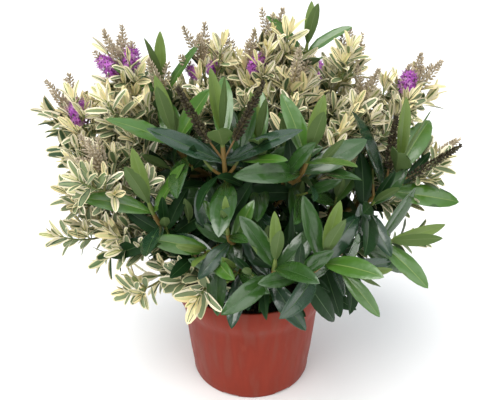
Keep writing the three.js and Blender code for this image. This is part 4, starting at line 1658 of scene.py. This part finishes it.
class HEBE_OT_variegated_leaves(bpy.types.Operator):
    """Set the small cream-edged leaves, in shades by age and spray, paler high up as painted light"""

    bl_idname = "hebe.variegated_leaves"
    bl_label = "Variegated leaves"

    def execute(self, context):
        plant = context.scene.hebe_plant
        fine = (3, 0.15)
        finishes = [
            finish_of("sage_deep", (0.042, 0.090, 0.036), 0.42, 0.5, fine),
            finish_of("sage_mid", (0.115, 0.180, 0.066), 0.44, 0.45, fine),
            finish_of("sage_pale", (0.29, 0.345, 0.105), 0.5, 0.45, fine),
            finish_of("sage_butter", (0.60, 0.62, 0.27), 0.52, 0.4, fine),
            finish_of("cream_dull", (0.60, 0.545, 0.36), 0.55, 0.4, fine),
            finish_of("cream_mid", (0.74, 0.68, 0.42), 0.55, 0.4, fine),
            finish_of("cream_bright", (0.89, 0.81, 0.61), 0.55, 0.4, fine),
            finish_of("cream_butter", (0.87, 0.75, 0.44), 0.55, 0.4, fine),
            finish_of("under_sage", (0.20, 0.255, 0.125), 0.6, 0.35, fine),
            finish_of("under_cream", (0.74, 0.70, 0.39), 0.6, 0.35, fine),
        ]

        leaves = [leaf for leaf in grown(context)["leaves"] if leaf["kind"] == V]
        thickness = plant.leaf_thickness / MM * 0.7
        sides = (
            ("left", lambda tip: tip[1] < BACK_DEPTH and tip[0] < -90),
            ("middle", lambda tip: tip[1] < BACK_DEPTH and -90 <= tip[0] < 80),
            ("right", lambda tip: tip[1] < BACK_DEPTH and tip[0] >= 80),
            ("back", lambda tip: tip[1] >= BACK_DEPTH),
        )
        for name, side in sides:
            nodes = nodes_of(V, side)
            chosen = [leaf for leaf in leaves if leaf["mass"] in nodes]
            part = leaf_part(chosen, V, thickness, finishes, variegated_finishes)
            piece = mesh_piece("variegated_leaves_" + name, [part], finishes)
            settle(piece, "variegated_foliage", *nodes)
        return {"FINISHED"}


def capsule_shape():
    """A small flattened capsule, one long, that stands on its foot: points, faces."""
    rings = [(0.12, 0.26), (0.62, 0.31)]
    points, faces = [], []
    for along, radius in rings:
        for k in range(4):
            angle = math.pi / 2 * k
            points.append((radius * math.cos(angle), radius * 0.8 * math.sin(angle), along))
    points += [(0, 0, -0.05), (0, 0, 1.0)]
    for k in range(4):
        a, b = k, (k + 1) % 4
        faces += [(a, b, b + 4), (a, b + 4, a + 4), (b, a, 8), (a + 4, b + 4, 9)]
    return np.array(points), np.array(faces)


def thread_shape():
    """A thin stalk from 0 to 1 along z."""
    points = [(math.cos(a), math.sin(a), z) for z in (0, 1) for a in (0, 2.1, 4.2)]
    faces = [(0, 1, 4), (0, 4, 3), (1, 2, 5), (1, 5, 4), (2, 0, 3), (2, 3, 5), (0, 2, 1), (3, 4, 5)]
    return np.array(points), np.array(faces)


def stood(shape, bases, directions, scales):
    """Copies a shape to many places, its z axis along each direction: points, faces."""
    points, faces = shape
    directions = directions / np.linalg.norm(directions, axis=1, keepdims=True)
    helper = np.where(np.abs(directions[:, 2:]) > 0.9, [[1.0, 0, 0]], [[0, 0, 1.0]])
    side = np.cross(helper, directions)
    side /= np.linalg.norm(side, axis=1, keepdims=True)
    other = np.cross(directions, side)
    axes = np.stack([side, other, directions], 1)
    local = points[None] * scales[:, None]
    placed = np.einsum("nvk,nkj->nvj", local, axes) + bases[:, None]
    starts = np.arange(len(bases))[:, None, None] * len(points)
    return placed.reshape(-1, 3), (faces[None] + starts).reshape(-1, 3)


def spike_line(spike, stalk, length, dice):
    """A gently bent line for a spike and its stalk."""
    direction = spike["direction"]
    bend = around_stem(direction, dice.uniform(0, 360)) * length * 0.07 + UP * length * 0.05
    end = spike["base"] + direction * (stalk + length)
    middle = spike["base"] + direction * (stalk + length) * 0.5
    return Curve(spike["base"] - direction * 4, middle - bend * 0.5, end + bend)


# The spacing of the whorls, the share of the capsules that has fallen, how many steps of a spike are
# its stalk, and the outlines of a spent spike and a blossom: shares of the length and of the radius.
WHORL_GAP = 3.05
FALLEN = 0.08
STALK_RINGS = 4
SPENT_OUTLINE = ([0, 0.12, 0.5, 0.85, 1], [0.8, 1, 0.84, 0.52, 0.26])
BLOOM_OUTLINE = ([0, 0.15, 0.6, 0.9, 1], [0.62, 0.95, 1.0, 0.72, 0.4])


def seed_spike(spike, spec, plant, dice, dark):
    """A spent spike: a stalk, and whorls of open capsules that get shorter to its tip."""
    size = spike["size"]
    stalk, length = spec["spike_stalk"], spec["spike_length"] * size
    line = spike_line(spike, stalk, length, dice)
    shares = np.linspace(0, 1, 14)
    thick = 1.15 if dark else 0.75
    radii = np.interp(shares, [0, 0.3, 1], [thick, thick * 0.9, 0.35])
    sides = 5
    points, faces, shades = tube(line.at(shares), radii, sides)
    shades[: 2 * sides * STALK_RINGS] = 3
    parts = [(points, faces, shades)]
    whorls = int(length / WHORL_GAP)
    bases, directions, scales, threads = [], [], [], []
    first = stalk / (stalk + length)
    for w in range(whorls):
        share = w / (whorls - 1)
        along = min(first + (1 - first) * (0.02 + 0.97 * (1 - (1 - share) ** 1.25)), 0.999)
        centre, direction = line.place(along)
        envelope = np.interp(share, *SPENT_OUTLINE)
        reach = spec["spike_radius"] * envelope
        count = 6 if share < 0.6 else 5 if share < 0.85 else 3
        for k in range(count):
            if dice.random() < FALLEN:
                continue
            angle = 360 / count * k + dice.uniform(-8, 8)
            out = opened(direction, around_stem(direction, angle), dice.uniform(50, 64))
            capsule = plant.capsule_length / MM * (0.72 + 0.36 * envelope) * dice.uniform(0.85, 1.15)
            inner = max(reach - capsule * 0.75, 0.3)
            threads.append((centre, out, inner))
            bases.append(centre + out * inner * 0.9)
            directions.append(out + direction * 0.25)
            scales.append([capsule * (1.15 if dark else 0.92)] * 2 + [capsule])
    shape = capsule_shape()
    points, faces = stood(shape, np.array(bases), np.array(directions), np.array(scales))
    tones = np.array([dice.choice([1, 1, 2]) for _ in bases])
    parts.append((points, faces, np.repeat(tones, len(shape[1]))))
    if not dark:
        centres, ways, reaches = zip(*threads)
        thin = np.array([[0.16, 0.16, max(reach, 0.4)] for reach in reaches])
        points, faces = stood(thread_shape(), np.array(centres), np.array(ways), thin)
        parts.append((points, faces, np.zeros(len(faces), int)))
    return parts


def floret_shape():
    """A four-petalled floret as a thin closed star, its face along z: points, faces."""
    points = [(0, 0, 0.0), (0, 0, -0.16)]
    for k in range(8):
        angle = math.pi / 4 * k
        far, rise = (1.0, 0.22) if k % 2 == 0 else (0.34, 0.02)
        points.append((far * math.cos(angle), far * math.sin(angle), rise))
    faces = []
    for k in range(8):
        a, b = 2 + k, 2 + (k + 1) % 8
        faces += [(0, a, b), (1, b, a)]
    return np.array(points), np.array(faces)


def blossom_parts(bloom, plant, dice):
    """A spike in flower: florets round its core with their long stamens; its spent whorls above are made
    with the spikes.
    """
    direction, size = bloom["direction"], bloom["size"]
    start = bloom["base"] + direction * BLOOM["stalk"]
    across, length = BLOOM["radius"] * size, BLOOM["length"] * size
    bases, ways, sizes, tones = [], [], [], []
    count = int(BLOOM["florets"] * size)
    for i in range(count):
        share = (i + dice.uniform(-0.4, 0.4)) / count
        envelope = np.interp(share, *BLOOM_OUTLINE)
        angle = GOLDEN_TURN * i + dice.uniform(-20, 20)
        opening = 78 - 40 * share + dice.uniform(-12, 12)
        out = opened(direction, around_stem(direction, angle), opening)
        reach = (across - 2.6) * envelope * dice.uniform(0.78, 1.05)
        centre = start + direction * length * share * 0.92
        bases.append(centre + out * reach)
        ways.append(out)
        sizes.append([plant.petal_length / MM * dice.uniform(0.75, 1.1)] * 3)
        tones.append(dice.choice([0, 0, 1, 1, 2]) if share > 0.12 else dice.choice([1, 2, 2]))
    bases, ways, sizes = np.array(bases), np.array(ways), np.array(sizes)
    shape = floret_shape()
    points, faces = stood(shape, bases, ways, sizes)
    parts = [(points, faces, np.repeat(tones, len(shape[1])))]
    hairs = np.array([[0.22, 0.22, dice.uniform(2.6, 4.6)] for _ in bases])
    for turn in (0.22, -0.25):
        loose = np.array([[dice.uniform(-0.1, 0.1) for _ in range(3)] for _ in bases])
        lean = ways + np.cross(ways, UP[None]) * turn + loose
        points, faces = stood(thread_shape(), bases, lean, hairs)
        parts.append((points, faces, np.full(len(faces), 3)))
    core = [start + direction * length * share for share in (0, 0.15, 0.6, 0.95)]
    parts.append(tube(core, np.array([2.5, 5.0, 5.0, 2.2]) * size, 8))
    return parts


class HEBE_OT_flower_spikes(bpy.types.Operator):
    """Stand the spent flower spikes in the axils, pale on the variegated shoots and dark on the green"""

    bl_idname = "hebe.flower_spikes"
    bl_label = "Spent spikes"

    def execute(self, context):
        plant = context.scene.hebe_plant
        dice = random.Random(23)
        pale = [
            finish_of("spike_axis", (0.42, 0.34, 0.20), 0.75, 0.3, (0.8, 0.1)),
            finish_of("capsule_straw", (0.55, 0.465, 0.345), 0.8, 0.3, (0.8, 0.1)),
            finish_of("capsule_brown", (0.38, 0.315, 0.22), 0.8, 0.3, (0.8, 0.1)),
            finish_of("spike_stalk", (0.27, 0.26, 0.10), 0.6, 0.4, (0.8, 0.1)),
        ]
        dark = [
            finish_of("dark_axis", (0.11, 0.085, 0.035), 0.7, 0.3, (0.8, 0.1)),
            finish_of("capsule_dark", (0.040, 0.030, 0.015), 0.65, 0.4, (0.8, 0.1)),
            finish_of("capsule_olive", (0.090, 0.078, 0.035), 0.65, 0.4, (0.8, 0.1)),
            finish_of("dark_stalk", (0.19, 0.11, 0.035), 0.55, 0.4, (0.8, 0.1)),
        ]
        for kind, name, finishes, slot in (
            (V, "pale_spikes", pale, "variegated_foliage"),
            (G, "dark_spikes", dark, "green_foliage"),
        ):
            parts = []
            for spike in grown(context)["spikes"]:
                if spike["form"] == "spike" and spike["kind"] == kind:
                    parts += seed_spike(spike, KINDS[kind], plant, dice, kind == G)
                elif spike["form"] == "bloom" and kind == V:
                    base = spike["base"] + spike["direction"] * (BLOOM["length"] - 8)
                    tip = {**spike, "base": base, "size": 0.55}
                    parts += seed_spike(tip, KINDS[V], plant, dice, False)
            settle(mesh_piece(name, parts, finishes), slot)
        return {"FINISHED"}


class HEBE_OT_blossom(bpy.types.Operator):
    """Set the clusters of purple florets on the spikes that still flower"""

    bl_idname = "hebe.blossom"
    bl_label = "Blossom"

    def execute(self, context):
        plant = context.scene.hebe_plant
        full = np.array(tuple(context.scene.hebe_colours.blossom))
        finishes = [finish_of("petal_full", tuple(full), 0.6, 0.3, (1, 0.1))]
        for name, lighter in (
            ("petal_soft", (1.35, 2.0, 1.3)),
            ("petal_faded", (1.5, 4.2, 1.25)),
            ("stamen", (1.2, 2.4, 1.1)),
        ):
            tint = tuple(np.minimum(full * lighter, 1))
            finishes.append(finish_of(name, tint, 0.6, 0.3, (1, 0.1)))
        dice = random.Random(37)
        parts = []
        for spike in grown(context)["spikes"]:
            if spike["form"] == "bloom":
                parts += blossom_parts(spike, plant, dice)
        settle(mesh_piece("purple_blossom", parts, finishes), "variegated_foliage")
        return {"FINISHED"}


# The surround by how far up one looks: white at the floor, a grey wall and a bright ceiling.
SKY = [
    (0.0, (1.66, 1.66, 1.66)),
    (0.04, (1.66, 1.66, 1.66)),
    (0.1, (0.33, 0.35, 0.36)),
    (0.42, (0.33, 0.35, 0.36)),
    (0.66, (1.5, 1.58, 1.66)),
    (1.0, (1.5, 1.58, 1.66)),
]
# Where the lights aim, and how far the camera stands to the side.
AIM = Vector((0, 0, 0.25))
CAMERA_ASIDE = -0.0012


class HEBE_OT_stage(bpy.types.Operator):
    """Lay the pale floor, and set the soft lights and the camera"""

    bl_idname = "hebe.stage"
    bl_label = "Stage"

    def execute(self, context):
        stage = context.scene.hebe_stage
        deselect_all()
        bpy.ops.mesh.primitive_plane_add(size=stage.floor_size, location=(0, 0, 0))
        floor = context.object
        floor.name = "studio_floor"
        floor.data.materials.append(
            finish_of("studio_white", tuple(context.scene.hebe_colours.floor), 0.9, 0.1)
        )

        world = context.scene.world or bpy.data.worlds.new("studio")
        context.scene.world = world
        world.use_nodes = True
        nodes, links = world.node_tree.nodes, world.node_tree.links
        surround = nodes["Background"]
        surround.inputs["Strength"].default_value = stage.sky
        places = nodes.new("ShaderNodeTexCoord")
        heights = nodes.new("ShaderNodeSeparateXYZ")
        links.new(places.outputs["Generated"], heights.inputs["Vector"])
        links.new(toned(world, heights.outputs["Z"], SKY), surround.inputs["Color"])

        for name, spot, strength in (
            ("soft_key", (-0.9, -1.05, 2.6), stage.sun),
            ("soft_fill", (1.6, -1.4, 1.6), stage.fill),
        ):
            lamp = bpy.data.lights.new(name, "SUN")
            lamp.energy = strength
            lamp.angle = stage.sun_spread
            lamp.color = (1, 0.985, 0.95)
            light = bpy.data.objects.new(name, lamp)
            context.scene.collection.objects.link(light)
            light.location = spot
            light.rotation_euler = (AIM - light.location).to_track_quat("-Z", "Y").to_euler()

        lens = bpy.data.cameras.new("front_camera")
        lens.sensor_width = 36
        lens.lens = stage.lens
        lens.clip_start = 0.01
        camera = bpy.data.objects.new("front_camera", lens)
        context.scene.collection.objects.link(camera)
        camera.location = (CAMERA_ASIDE, -stage.camera_distance, stage.camera_height)
        camera.rotation_euler = (math.pi / 2 - stage.camera_pitch, 0, 0)
        context.scene.camera = camera
        context.scene.view_settings.view_transform = "Standard"
        return {"FINISHED"}


STEPS = (
    HEBE_OT_nursery_pot,
    HEBE_OT_potting_mix,
    HEBE_OT_bark_limbs,
    HEBE_OT_stems,
    HEBE_OT_green_leaves,
    HEBE_OT_variegated_leaves,
    HEBE_OT_flower_spikes,
    HEBE_OT_blossom,
    HEBE_OT_stage,
)


class HEBE_PT_panel(bpy.types.Panel):
    """Steps that make the potted shrub"""

    bl_idname = "HEBE_PT_panel"
    bl_label = "Potted hebe"
    bl_space_type = "VIEW_3D"
    bl_region_type = "UI"
    bl_category = "Hebe"

    def draw(self, context):
        for step in STEPS:
            self.layout.operator(step.bl_idname)


GROUPS = {
    "hebe_pot": HebePotSizes,
    "hebe_plant": HebePlantSizes,
    "hebe_colours": HebeColours,
    "hebe_stage": HebeStage,
}


def register():
    for group in GROUPS.values():
        bpy.utils.register_class(group)
    for name, group in GROUPS.items():
        setattr(bpy.types.Scene, name, PointerProperty(type=group))
    for step in STEPS:
        bpy.utils.register_class(step)
    bpy.utils.register_class(HEBE_PT_panel)


def unregister():
    bpy.utils.unregister_class(HEBE_PT_panel)
    for step in reversed(STEPS):
        bpy.utils.unregister_class(step)
    for name, group in reversed(GROUPS.items()):
        delattr(bpy.types.Scene, name)
        bpy.utils.unregister_class(group)


def main():
    register()
    bpy.ops.hebe.nursery_pot()
    bpy.ops.hebe.potting_mix()
    bpy.ops.hebe.bark_limbs()
    bpy.ops.hebe.stems()
    bpy.ops.hebe.green_leaves()
    bpy.ops.hebe.variegated_leaves()
    bpy.ops.hebe.flower_spikes()
    bpy.ops.hebe.blossom()
    bpy.ops.hebe.stage()


if __name__ == "__main__":
    main()
